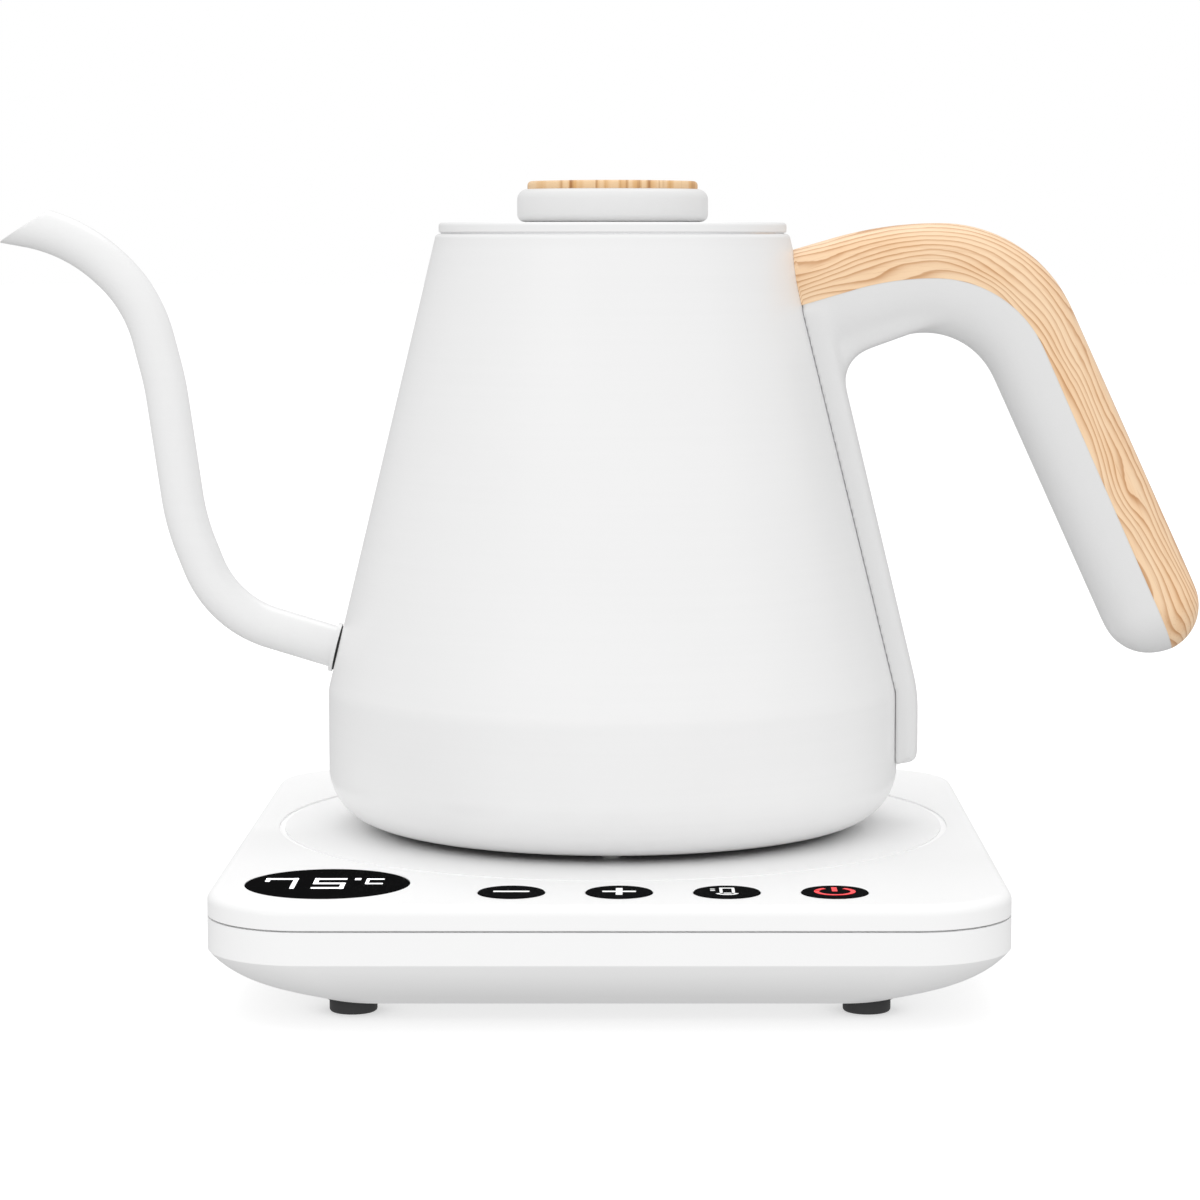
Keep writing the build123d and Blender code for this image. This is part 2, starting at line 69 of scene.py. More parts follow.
# ---------------------------------------------------------------------------- the kettle's axis
@dataclass(frozen=True)
class Axis:
    """The kettle's upright axis in the row's frame, in metres."""

    x: float
    y: float

    @classmethod
    def from_frame(cls) -> "Axis":
        """Read the axis from the joint on which the kettle turns."""
        swivel = next(j for j in frame["joints"] if j["name"] == "kettle_swivel")
        return cls(swivel["pos_m"][0], swivel["pos_m"][1])

    def place(self, points: np.ndarray) -> np.ndarray:
        """Turn millimetres about the axis into metres in the row's frame.

        Args:
            points: rows of x, y, z in millimetres about the axis.

        Returns:
            The same points in metres in the row's frame.
        """
        return np.asarray(points, float) * MM + np.array([self.x, self.y, 0.0])


AXIS = Axis.from_frame()


# ---------------------------------------------------------------------------- shader expressions
class Value:
    """A shader socket that takes part in Python arithmetic by adding Math nodes."""

    def __init__(self, shader: "Shader", socket: bpy.types.NodeSocket) -> None:
        """Wrap one output socket of a shader's tree."""
        self.shader = shader
        self.socket = socket

    def _join(self, operation: str, left: "Term", right: "Term") -> "Value":
        """Add a Math node with these two terms."""
        return self.shader.add("ShaderNodeMath", {"operation": operation}, {0: left, 1: right})

    def __add__(self, other: "Term") -> "Value":
        """self + other."""
        return self._join("ADD", self, other)

    def __radd__(self, other: "Term") -> "Value":
        """other + self."""
        return self._join("ADD", other, self)

    def __sub__(self, other: "Term") -> "Value":
        """self - other."""
        return self._join("SUBTRACT", self, other)

    def __rsub__(self, other: "Term") -> "Value":
        """other - self."""
        return self._join("SUBTRACT", other, self)

    def __mul__(self, other: "Term") -> "Value":
        """self * other."""
        return self._join("MULTIPLY", self, other)

    def __rmul__(self, other: "Term") -> "Value":
        """other * self."""
        return self._join("MULTIPLY", other, self)

    def __truediv__(self, other: "Term") -> "Value":
        """self / other."""
        return self._join("DIVIDE", self, other)

    def __pow__(self, other: "Term") -> "Value":
        """self to the power of other."""
        return self._join("POWER", self, other)

    def maths(self, operation: str, other: "Term" = 0.0) -> "Value":
        """Any other Math operation on this value, such as FRACT or MAXIMUM."""
        return self._join(operation, self, other)


Term = Union[Value, float]


class Shader:
    """A material's node tree that ends in one Principled surface."""

    def __init__(self, name: str) -> None:
        """Start an empty material of this name."""
        self.material = bpy.data.materials.new(name)
        self.material.use_nodes = True
        self.tree = self.material.node_tree
        self.tree.nodes.clear()
        self.surface = self.tree.nodes.new("ShaderNodeBsdfPrincipled")
        output = self.tree.nodes.new("ShaderNodeOutputMaterial")
        self.tree.links.new(self.surface.outputs["BSDF"], output.inputs["Surface"])

    def add(self, kind: str, settings: dict | None = None, sockets: dict | None = None,
            output: Union[int, str] = 0) -> Value:
        """Add one node.

        Args:
            kind: the node's type.
            settings: properties that are set before the sockets.
            sockets: values or links of its inputs, by name or number.
            output: which output to return.

        Returns:
            The chosen output as a Value.
        """
        node = self.tree.nodes.new(kind)
        for key, value in (settings or {}).items():
            setattr(node, key, value)
        for key, value in (sockets or {}).items():
            self.feed(node.inputs[key], value)
        return Value(self, node.outputs[output])

    def feed(self, socket: bpy.types.NodeSocket, value: Union[Value, float, tuple]) -> None:
        """Link a Value to a socket, or set the socket's own number, vector or colour."""
        if isinstance(value, Value):
            self.tree.links.new(value.socket, socket)
        elif isinstance(value, tuple) and socket.type == "RGBA":
            socket.default_value = (*value[:3], 1.0)
        else:
            socket.default_value = value

    def set(self, name: str, value: Union[Value, float, tuple]) -> None:
        """Feed one of the surface's inputs."""
        self.feed(self.surface.inputs[name], value)

    def object_points(self, scale: tuple[float, float, float] = (1.0, 1.0, 1.0)) -> Value:
        """Object coordinates stretched by a scale for each axis."""
        here = self.add("ShaderNodeTexCoord", output="Object")
        sockets = {"Vector": here, "Scale": scale}
        return self.add("ShaderNodeMapping", {"vector_type": "POINT"}, sockets, "Vector")

    def noise(self, points: Value, scale: float, detail: float = 2.0, rough: float = 0.5) -> Value:
        """Smooth noise from 0 to 1 at a number of features per unit of the points."""
        sockets = {"Vector": points, "Scale": scale, "Detail": detail, "Roughness": rough}
        return self.add("ShaderNodeTexNoise", {"noise_dimensions": "3D"}, sockets, "Fac")

    def between(self, mask: Value, low: float, high: float) -> Value:
        """A number that goes from low to high as the mask goes from 0 to 1."""
        return mask * (high - low) + low

    def blend(self, mask: Term, first: Union[Value, Colour], second: Union[Value, Colour]) -> Value:
        """A colour that goes from first to second as the mask goes from 0 to 1."""
        settings = {"data_type": "RGBA", "blend_type": "MIX", "clamp_factor": True}
        return self.add("ShaderNodeMix", settings, {0: mask, 6: first, 7: second}, 2)

    def relief(self, height: Value, depth: float) -> None:
        """Raise the surface by a height from 0 to 1, to a depth in metres."""
        sockets = {"Height": height, "Distance": depth, "Strength": 1.0}
        self.set("Normal", self.add("ShaderNodeBump", None, sockets, "Normal"))


# ---------------------------------------------------------------------------- finishes
@dataclass(frozen=True)
class Finish:
    """A moulded, coated or metal finish: mottled colour, uneven gloss and a fine relief."""

    name: str
    dark: Colour
    light: Colour
    gloss: tuple[float, float] = (0.35, 0.45)
    metallic: float = 0.0
    mottle: float = 25.0
    grain: float = 1500.0
    depth: float = 0.00001
    stretch: tuple[float, float, float] = (1.0, 1.0, 1.0)
    coat: float = 0.0
    specular: float = 0.5
    see_through: float = 0.0

    def material(self) -> bpy.types.Material:
        """Build the material."""
        shader = Shader(self.name)
        here = shader.object_points()
        streaked = shader.object_points(self.stretch)
        cloud = shader.noise(here, self.mottle, 3.0)
        fine = shader.noise(streaked, self.grain, 2.0)
        mask = cloud * 0.6 + fine * 0.4
        shader.set("Base Color", shader.blend(mask, self.dark, self.light))
        shader.set("Roughness", shader.between(fine * 0.5 + cloud * 0.5, *self.gloss))
        shader.set("Metallic", self.metallic)
        shader.set("Coat Weight", self.coat)
        shader.set("Coat Roughness", 0.12)
        shader.set("Specular IOR Level", self.specular)
        shader.set("Transmission Weight", self.see_through)
        shader.relief(fine, self.depth)
        return shader.material


@dataclass(frozen=True)
class GrainedWood:
    """Light oiled ash: late-wood lines, close together outside and open and looped by the seam."""

    name: str = "ash_wood"
    pale: Colour = (0.93, 0.685, 0.45)
    warm: Colour = (0.88, 0.58, 0.335)
    line: Colour = (0.50, 0.225, 0.075)
    from_attribute: bool = True

    def _points(self, shader: Shader) -> Value:
        """Points whose X runs along the grain: the piece's own attribute, or its place."""
        if self.from_attribute:
            return shader.add("ShaderNodeAttribute", {"attribute_name": "grain"}, None, "Vector")
        here = shader.add("ShaderNodeTexCoord", output="Object")
        return shader.add("ShaderNodeMapping", None,
                          {"Vector": here, "Rotation": (0.0, 0.0, math.radians(90.0))}, "Vector")

    @staticmethod
    def _stretched(shader: Shader, points: Value, along: float, across: float) -> Value:
        """The points at so many features per metre along and across the grain."""
        sockets = {"Vector": points, "Scale": (along, across, across)}
        return shader.add("ShaderNodeMapping", None, sockets, "Vector")

    def material(self) -> bpy.types.Material:
        """Build the material."""
        shader = Shader(self.name)
        points = self._points(shader)
        drift = shader.noise(self._stretched(shader, points, 26.0, 70.0), 1.0, 1.0) - 0.5
        sway = shader.noise(self._stretched(shader, points, 75.0, 190.0), 1.0, 3.0, 0.55) - 0.5
        up = shader.add("ShaderNodeSeparateXYZ", None, {"Vector": points}, "Y")
        side = Value(shader, up.socket.node.outputs["Z"]) * 1000.0
        height = up * 1000.0
        near_seam = (1.0 - height / 13.0).maths("MAXIMUM", 0.0)
        bent = height + side * side * 0.009 + sway * 1.1 + drift * (near_seam * 17.0 + 1.6)
        rings = bent * 0.24 + bent * bent * 0.034
        tooth = rings.maths("FRACT")
        late = (tooth ** 3.4) * (1.0 - (tooth ** 18.0)) * 1.35
        pores = shader.noise(self._stretched(shader, points, 90.0, 2600.0), 1.0, 2.0, 0.6)
        patch = shader.noise(self._stretched(shader, points, 40.0, 220.0), 1.0, 2.0)
        tone = shader.blend((patch - 0.3) * 1.8, self.pale, self.warm)
        strength = shader.between(patch, 0.45, 1.35)
        grained = shader.blend(late * strength, tone, self.line)
        speck = (pores - 0.56).maths("MAXIMUM", 0.0) * 1.6
        shader.set("Base Color", shader.blend(speck, grained, self.line))
        shader.set("Roughness", shader.between(pores * 0.5 + late * 0.5, 0.40, 0.60))
        shader.set("Coat Weight", 0.04)
        shader.relief(1.0 - (late * 0.5 + pores * 0.5), 0.00004)
        return shader.material


@dataclass(frozen=True)
class StavedWood:
    """The knob's wooden disc: narrow staves side by side, cream and brown."""

    name: str = "staved_wood"
    pale: Colour = (0.84, 0.60, 0.36)
    warm: Colour = (0.70, 0.40, 0.16)
    dark: Colour = (0.40, 0.175, 0.05)

    def material(self) -> bpy.types.Material:
        """Build the material."""
        shader = Shader(self.name)
        here = shader.object_points()
        bands = shader.object_points((360.0, 4.0, 4.0))
        narrow = shader.object_points((700.0, 7.0, 7.0))
        stave = shader.noise(bands, 1.0, 1.0)
        streak = shader.noise(narrow, 1.0, 2.0)
        cream = shader.noise(here, 60.0, 2.0)
        mask = (stave - 0.46) * 7.0
        first = shader.blend(cream * 0.35, self.pale, self.warm)
        mixed = shader.blend(mask, first, self.warm)
        shade = (streak - 0.53) * 6.0
        shader.set("Base Color", shader.blend(shade, mixed, self.dark))
        shader.set("Roughness", shader.between(streak, 0.4, 0.6))
        shader.relief(streak, 0.00004)
        return shader.material


@dataclass(frozen=True)
class Mark:
    """A printed or lit mark that glows a little of its own."""

    name: str
    colour: Colour
    glow: float

    def material(self) -> bpy.types.Material:
        """Build the material."""
        shader = Shader(self.name)
        here = shader.object_points()
        cells = shader.noise(here, 900.0, 1.0)
        dimmed = (self.colour[0] * 0.9, self.colour[1] * 0.9, self.colour[2] * 0.9)
        tone = shader.blend(cells, dimmed, self.colour)
        shader.set("Base Color", tone)
        shader.set("Emission Color", tone)
        shader.set("Emission Strength", self.glow)
        shader.set("Roughness", shader.between(cells, 0.4, 0.5))
        return shader.material


@dataclass(frozen=True)
class SmokedWindow:
    """The display's dark window, polished, with a trace of dust in its shade and gloss."""

    name: str = "smoked_window"
    black: Colour = (0.0022, 0.0022, 0.0024)
    dusty: Colour = (0.0040, 0.0040, 0.0043)

    def material(self) -> bpy.types.Material:
        """Build the material."""
        shader = Shader(self.name)
        dust = shader.noise(shader.object_points(), 300.0, 2.0)
        shader.set("Base Color", shader.blend(dust, self.black, self.dusty))
        shader.set("Roughness", shader.between(dust, 0.10, 0.14))
        shader.set("Specular IOR Level", 0.0)
        shader.set("Coat Weight", 0.012)
        return shader.material


AnyFinish = Union[Finish, GrainedWood, StavedWood, Mark, SmokedWindow]


class Coats:
    """Every finish of the kettle, made once and kept by name."""

    WHITE_COAT = Finish("white_coat", (0.82, 0.82, 0.82), (0.855, 0.855, 0.855), (0.30, 0.36),
                        grain=1.0, stretch=(14.0, 14.0, 900.0), depth=0.000003, coat=0.15)
    WHITE_MOULDING = Finish("white_moulding", (0.91, 0.91, 0.91), (0.94, 0.94, 0.94), (0.38, 0.46),
                            grain=2600.0, depth=0.000006)
    # Same white plastic as WHITE_MOULDING, given a darker colour: painted shade for the handle moulding and the
    # knob.
    GREY_WHITE = Finish("grey_white_moulding", (0.73, 0.73, 0.73), (0.765, 0.765, 0.765),
                        (0.40, 0.48), grain=2600.0, depth=0.000006)
    BLACK_GLOSS = Finish("black_gloss", (0.004, 0.004, 0.0045), (0.007, 0.007, 0.0075),
                         (0.16, 0.22), specular=0.0, coat=0.012, depth=0.000002)
    BLACK_MOULDING = Finish("black_moulding", (0.018, 0.018, 0.019), (0.03, 0.03, 0.031),
                            (0.5, 0.62))
    BLACK_RUBBER = Finish("black_rubber", (0.018, 0.018, 0.019), (0.03, 0.03, 0.031), (0.62, 0.8),
                          grain=2200.0, depth=0.00003)
    CLEAR_SILICONE = Finish("clear_silicone", (0.66, 0.66, 0.65), (0.74, 0.74, 0.73), (0.38, 0.5),
                            see_through=0.25)
    BARE_STEEL = Finish("bare_steel", (0.72, 0.72, 0.73), (0.84, 0.84, 0.85), (0.26, 0.40), 1.0,
                        grain=1.0, stretch=(60.0, 60.0, 5200.0), depth=0.000004)
    ZINC_SCREW = Finish("zinc_screw", (0.42, 0.43, 0.45), (0.56, 0.57, 0.59), (0.28, 0.42), 1.0)
    CAST_ALUMINIUM = Finish("heater_aluminium", (0.50, 0.50, 0.50), (0.62, 0.62, 0.62),
                            (0.42, 0.58), 1.0, grain=900.0, depth=0.00004)
    CONTACT_BRASS = Finish("contact_brass", (0.60, 0.42, 0.16), (0.72, 0.52, 0.22),
                           (0.22, 0.34), 1.0)
    BOARD = Finish("board_laminate", (0.015, 0.11, 0.045), (0.025, 0.16, 0.07), (0.32, 0.45),
                   mottle=160.0)
    COMPONENT = Finish("ceramic_body", (0.62, 0.55, 0.38), (0.72, 0.66, 0.50), (0.45, 0.6))

    def __init__(self) -> None:
        """Start with nothing made."""
        self._made: dict[str, bpy.types.Material] = {}

    def of(self, finish: AnyFinish) -> bpy.types.Material:
        """The material of a finish, built the first time it is asked for."""
        if finish.name not in self._made:
            self._made[finish.name] = finish.material()
        return self._made[finish.name]

    def by_slot(self, slot: str) -> bpy.types.Material:
        """The material for one of the record's slots."""
        finishes = {f.name: f for f in vars(Coats).values() if isinstance(f, Finish)}
        if slot == "ash_wood":
            return self.of(GrainedWood(name="ash_dowel", from_attribute=False))
        return self.of(finishes[slot])


COATS = Coats()


# ---------------------------------------------------------------------------- mesh building
def unit(way: np.ndarray) -> np.ndarray:
    """The same direction at a length of 1."""
    return way / np.linalg.norm(way)


def run_length(line: np.ndarray) -> np.ndarray:
    """How far each point of a line is from its start, along the line."""
    return np.concatenate([[0.0], np.cumsum(np.linalg.norm(np.diff(line, axis=0), axis=1))])


def new_object(name: str, data: bpy.types.ID) -> bpy.types.Object:
    """Put an object with this mesh, light or camera into the scene."""
    thing = bpy.data.objects.new(name, data)
    bpy.context.scene.collection.objects.link(thing)
    return thing


def arc(centre: Point2, radius: float, start: float, end: float, count: int) -> list[Point2]:
    """Points on an arc.

    Args:
        centre: the arc's centre.
        radius: its radius.
        start: first angle in degrees.
        end: last angle in degrees.
        count: how many points, both ends among them.

    Returns:
        The points in order.
    """
    angles = np.radians(np.linspace(start, end, count))
    return [(centre[0] + radius * math.cos(a), centre[1] + radius * math.sin(a)) for a in angles]


def rounded_path(corners: Sequence[Point2], bends: Sequence[float], step: float) -> np.ndarray:
    """A polyline whose inner corners are arcs, as evenly spaced points.

    Args:
        corners: the polyline's points.
        bends: an arc's radius for each inner point.
        step: about how far apart the points are.

    Returns:
        Rows of two coordinates.
    """
    corner = [np.array(c, float) for c in corners]
    rough: list[np.ndarray] = [corner[0]]
    for before, here, after, bend in zip(corner, corner[1:], corner[2:], bends):
        back = unit(before - here)
        ahead = unit(after - here)
        half = math.acos(float(np.clip(back @ ahead, -1.0, 1.0))) / 2
        middle = here + unit(back + ahead) * bend / math.sin(half)
        first = here + back * bend / math.tan(half) - middle
        last = here + ahead * bend / math.tan(half) - middle
        a0 = math.atan2(first[1], first[0])
        turn = (math.atan2(last[1], last[0]) - a0 + math.pi) % (2 * math.pi) - math.pi
        count = max(6, int(abs(turn) * bend / 0.5))
        rough += [middle + bend * np.array([math.cos(a0 + turn * t), math.sin(a0 + turn * t)])
                  for t in np.linspace(0, 1, count)]
    rough.append(corner[-1])
    line = np.array(rough)
    length = run_length(line)
    even = np.linspace(0.0, length[-1], max(2, int(length[-1] / step)))
    return np.stack([np.interp(even, length, line[:, i]) for i in range(2)], axis=1)


def finish_mesh(name: str, vertices: np.ndarray, faces: Sequence[Sequence[int]],
                crease: float = 32.0) -> bpy.types.Object:
    """Make one closed object from points and faces.

    Args:
        name: the object's name.
        vertices: points in millimetres about the kettle's axis.
        faces: vertex numbers of each face.
        crease: faces that meet at a larger angle, in degrees, meet in a sharp edge.

    Returns:
        The object, at the origin, with outward normals.
    """
    mesh = bpy.data.meshes.new(name)
    mesh.from_pydata(AXIS.place(vertices).tolist(), [], faces)
    work = bmesh.new()
    work.from_mesh(mesh)
    bmesh.ops.remove_doubles(work, verts=work.verts, dist=2e-6)
    bmesh.ops.dissolve_degenerate(work, edges=work.edges, dist=1e-6)
    bmesh.ops.recalc_face_normals(work, faces=work.faces)
    work.to_mesh(mesh)
    work.free()
    mesh.shade_smooth()
    mesh.set_sharp_from_angle(angle=math.radians(crease))
    return new_object(name, mesh)


def loft(name: str, rings: Sequence[np.ndarray], capped: bool = True, looped: bool = False,
         crease: float = 32.0) -> bpy.types.Object:
    """Skin a row of closed rings that all have the same number of points.

    Args:
        name: the object's name.
        rings: the rings, in millimetres about the axis.
        capped: close the two ends with flat faces.
        looped: join the last ring to the first instead.
        crease: angle of a sharp edge, in degrees.

    Returns:
        The object.
    """
    count = len(rings[0])
    faces: list[list[int]] = []
    pairs = [(i, i + 1) for i in range(len(rings) - 1)]
    if looped:
        pairs.append((len(rings) - 1, 0))
    for low, high in pairs:
        for j in range(count):
            k = (j + 1) % count
            faces.append([low * count + j, low * count + k, high * count + k, high * count + j])
    if capped and not looped:
        faces.append(list(range(count))[::-1])
        faces.append([(len(rings) - 1) * count + j for j in range(count)])
    return finish_mesh(name, np.concatenate(rings), faces, crease)


def lathe(name: str, outline: Sequence[Point2], segments: int = 192, crease: float = 32.0,
          centre: Point2 = (0.0, 0.0)) -> bpy.types.Object:
    """Turn a closed (radius, z) outline about an upright line.

    Args:
        name: the object's name.
        outline: the outline's points in order; a radius of 0 is on the line.
        segments: how many steps round.
        crease: angle of a sharp edge, in degrees.
        centre: where the line stands, in millimetres about the kettle's axis.

    Returns:
        The object.
    """
    angles = np.linspace(0, 2 * math.pi, segments, endpoint=False)
    rings = []
    for radius, z in outline:
        ring = np.stack([centre[0] + radius * np.cos(angles), centre[1] + radius * np.sin(angles),
                         np.full(segments, z)], axis=1)
        rings.append(ring)
    return loft(name, rings, looped=True, crease=crease)


def plates(name: str, outlines: Iterable[Sequence[Point2]], z: float,
           thick: float) -> bpy.types.Object:
    """Flat marks of one thickness that lie on a level face.

    Args:
        name: the object's name.
        outlines: each mark's outline, as x and y in millimetres about the axis.
        z: height of the face that they lie on.
        thick: how far they stand above it.

    Returns:
        One object with every mark.
    """
    vertices: list[tuple[float, float, float]] = []
    faces: list[list[int]] = []
    for outline in outlines:
        first, count = len(vertices), len(outline)
        vertices += [(x, y, z) for x, y in outline] + [(x, y, z + thick) for x, y in outline]
        faces.append([first + i for i in range(count)][::-1])
        faces.append([first + count + i for i in range(count)])
        for i in range(count):
            j = (i + 1) % count
            faces.append([first + i, first + j, first + count + j, first + count + i])
    return finish_mesh(name, np.array(vertices), faces, 20.0)


def bake(thing: bpy.types.Object, name: str) -> bpy.types.Object:
    """Turn an object with live modifiers into a plain mesh object, and remove the first."""
    graph = bpy.context.evaluated_depsgraph_get()
    mesh = bpy.data.meshes.new_from_object(thing.evaluated_get(graph))
    mesh.name = name
    plain = new_object(name, mesh)
    bpy.data.objects.remove(thing)
    return plain


def dress(thing: bpy.types.Object, material: bpy.types.Material, body: str, slot: str,
          *replaced: str) -> bpy.types.Object:
    """Give a piece its material and its body, and hide the nodes that it stands for."""
    thing.data.materials.clear()
    thing.data.materials.append(material)
    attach(thing, body)
    if replaced:
        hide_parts(*replaced)
    LOG.info("%s rides on %s, %d faces", thing.name, body, len(thing.data.polygons))
    return thing


# ---------------------------------------------------------------------------- repeated pieces
class Scatter:
    """A Geometry Nodes tree that sets copies of one piece on points and joins them."""

    def __init__(self, name: str, material: bpy.types.Material) -> None:
        """Build the tree with its named inputs."""
        self.tree = bpy.data.node_groups.new(name, "GeometryNodeTree")
        face = self.tree.interface
        face.new_socket("Points", in_out="INPUT", socket_type="NodeSocketGeometry")
        face.new_socket("Piece", in_out="INPUT", socket_type="NodeSocketObject")
        face.new_socket("Turn", in_out="INPUT", socket_type="NodeSocketFloat")
        face.new_socket("Result", in_out="OUTPUT", socket_type="NodeSocketGeometry")
        nodes, links = self.tree.nodes, self.tree.links
        source = nodes.new("NodeGroupInput")
        info = nodes.new("GeometryNodeObjectInfo")
        index = nodes.new("GeometryNodeInputIndex")
        turn = nodes.new("ShaderNodeMath")
        turn.operation = "MULTIPLY"
        spin = nodes.new("ShaderNodeCombineXYZ")
        stand = nodes.new("GeometryNodeInstanceOnPoints")
        real = nodes.new("GeometryNodeRealizeInstances")
        paint = nodes.new("GeometryNodeSetMaterial")
        paint.inputs["Material"].default_value = material
        result = nodes.new("NodeGroupOutput")
        links.new(source.outputs["Piece"], info.inputs["Object"])
        links.new(index.outputs[0], turn.inputs[0])
        links.new(source.outputs["Turn"], turn.inputs[1])
        links.new(turn.outputs[0], spin.inputs["Z"])
        links.new(source.outputs["Points"], stand.inputs["Points"])
        links.new(info.outputs["Geometry"], stand.inputs["Instance"])
        links.new(spin.outputs[0], stand.inputs["Rotation"])
        links.new(stand.outputs[0], real.inputs[0])
        links.new(real.outputs[0], paint.inputs["Geometry"])
        links.new(paint.outputs[0], result.inputs[0])

    def place(self, name: str, piece: bpy.types.Object, points: np.ndarray,
              turn: float) -> bpy.types.Object:
        """Set the piece on each point.

        Args:
            name: name of the joined result.
            piece: the piece, drawn about the row frame's origin; it is removed afterwards.
            points: where its origin goes, in metres in the row's frame.
            turn: how far each copy is turned beyond the last, in radians.

        Returns:
            A plain mesh object.
        """
        cloud = bpy.data.meshes.new(name + "_points")
        cloud.from_pydata(points.tolist(), [], [])
        holder = new_object(name + "_holder", cloud)
        modifier = holder.modifiers.new("scatter", "NODES")
        modifier.node_group = self.tree
        inputs = {"Piece": piece, "Turn": turn}
        for item in self.tree.interface.items_tree:
            if item.item_type == "SOCKET" and item.in_out == "INPUT" and item.name in inputs:
                modifier[item.identifier] = inputs[item.name]
        result = bake(holder, name)
        bpy.data.objects.remove(piece)
        return result


def loose_lathe(name: str, outline: Sequence[Point2], segments: int) -> bpy.types.Object:
    """A turned piece about the row frame's own origin, for Scatter to copy."""
    shift = (-AXIS.x / MM, -AXIS.y / MM)
    return lathe(name, outline, segments, centre=shift)


@dataclass
class Fasteners:
    """Feet and screws, each kind one drawn piece set out on its own points."""

    foot_radius: float = 5.8
    foot_flange: float = 6.9
    foot_height: float = 4.6
    kettle_foot_ring: float = 55.5
    thread_pitch: float = 0.8
    thread_depth: float = 0.22

    def corner_points(self, node: str, inset: float, z: float) -> np.ndarray:
        """Four points, one inset from each upright edge of a CAD node's box."""
        low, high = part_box(node)
        edge = inset * MM
        return np.array([(x, y, z * MM) for x in (low.x + edge, high.x - edge)
                         for y in (low.y + edge, high.y - edge)])

    def ring_points(self, radius: float, start: float, z: float) -> np.ndarray:
        """Three points spaced evenly round the kettle's axis."""
        angles = np.radians(start + 120.0 * np.arange(3))
        flat = np.stack([radius * np.cos(angles), radius * np.sin(angles), np.full(3, z)], axis=1)
        return AXIS.place(flat)

    def base_feet(self) -> None:
        """Four rubber feet with a rounded tread edge, a shallow dish and a flange."""
        r, flange, top = self.foot_radius, self.foot_flange, self.foot_height
        outline = [(0.0, 0.35), (r - 2.6, 0.35), (r - 2.2, 0.0), (r - 0.7, 0.0)]
        outline += arc((r - 0.7, 0.7), 0.7, -90.0, 0.0, 5)
        outline += [(r, 3.2), (r + 0.25, 3.4), (flange - 0.15, 3.4), (flange, 3.55),
                    (flange, top), (0.0, top)]
        piece = loose_lathe("foot_piece", outline, 64)
        material = COATS.of(Coats.BLACK_RUBBER)
        points = self.corner_points("base_feet", flange, 0.0)
        feet = Scatter("set_feet", material).place("rubber_feet", piece, points, 0.0)
        dress(feet, material, "base", "black_rubber", "base_feet")

    def kettle_feet(self) -> None:
        """Three small domed silicone feet under the kettle."""
        outline = [(0.0, 32.0), (1.5, 32.0)] + arc((1.5, 33.0), 1.0, -90.0, 0.0, 6)
        outline += [(2.5, 33.6), (1.95, 33.7), (1.95, 36.6), (0.0, 36.6)]
        piece = loose_lathe("nub_piece", outline, 40)
        material = COATS.of(Coats.CLEAR_SILICONE)
        points = self.ring_points(self.kettle_foot_ring, -90.0, 0.0)
        feet = Scatter("set_nubs", material).place("kettle_nubs", piece, points, 0.0)
        dress(feet, material, "kettle", "clear_silicone", "kettle_feet")

    def screw(self, head: float, rise: float, shank: float, length: float) -> bpy.types.Object:
        """A pan-head screw, head down, with a cross recess cut in its head.

        Args:
            head: the head's radius.
            rise: the head's height.
            shank: the shank's radius.
            length: the shank's length.

        Returns:
            The screw, its head's face at z = 0.
        """
        outline = [(0.0, 0.0), (head * 0.62, 0.0), (head * 0.9, rise * 0.25), (head, rise * 0.7),
                   (head, rise), (shank, rise)]
        pitch = self.thread_pitch
        for i in range(int(length / pitch)):
            z = rise + pitch / 2 + i * pitch
            outline += [(shank - self.thread_depth, z), (shank, z + pitch / 2)]
        outline += [(shank * 0.4, rise + length), (0.0, rise + length)]
        body = loose_lathe("screw_piece", outline, 40)
        arm, width, deep = head * 0.62, head * 0.17, rise * 0.6
        for across, along in ((arm, width), (width, arm)):
            bpy.ops.mesh.primitive_cube_add(size=1.0, location=(0.0, 0.0, 0.0))
            blade = bpy.context.object
            size = Matrix.Diagonal((2 * across * MM, 2 * along * MM, 2 * deep * MM, 1.0))
            blade.data.transform(size)
            body = carve(body, blade, "screw_piece")
        return body

    def screws(self) -> None:
        """The base's four cover screws and the kettle's three."""
        material = COATS.of(Coats.ZINC_SCREW)
        four = self.screw(2.9, 2.0, 1.45, 13.4)
        points = self.corner_points("base_screws", 2.9, 4.6)
        base = Scatter("set_base_screws", material).place("cover_screws", four, points, 0.7)
        dress(base, material, "base", "zinc_screw", "base_screws")
        three = self.screw(2.8, 1.4, 1.45, 12.6)
        points = self.ring_points(54.0, 90.0, 34.0)
        under = Scatter("set_under_screws", material).place("under_screws", three, points, 0.9)
        dress(under, material, "kettle", "zinc_screw", "bottom_screws")


def carve(thing: bpy.types.Object, cutter: bpy.types.Object, name: str) -> bpy.types.Object:
    """Cut one object out of another, and remove the cutter."""
    modifier = thing.modifiers.new("cut", "BOOLEAN")
    modifier.operation = "DIFFERENCE"
    modifier.solver = "EXACT"
    modifier.object = cutter
    result = bake(thing, name)
    bpy.data.objects.remove(cutter)
    return result


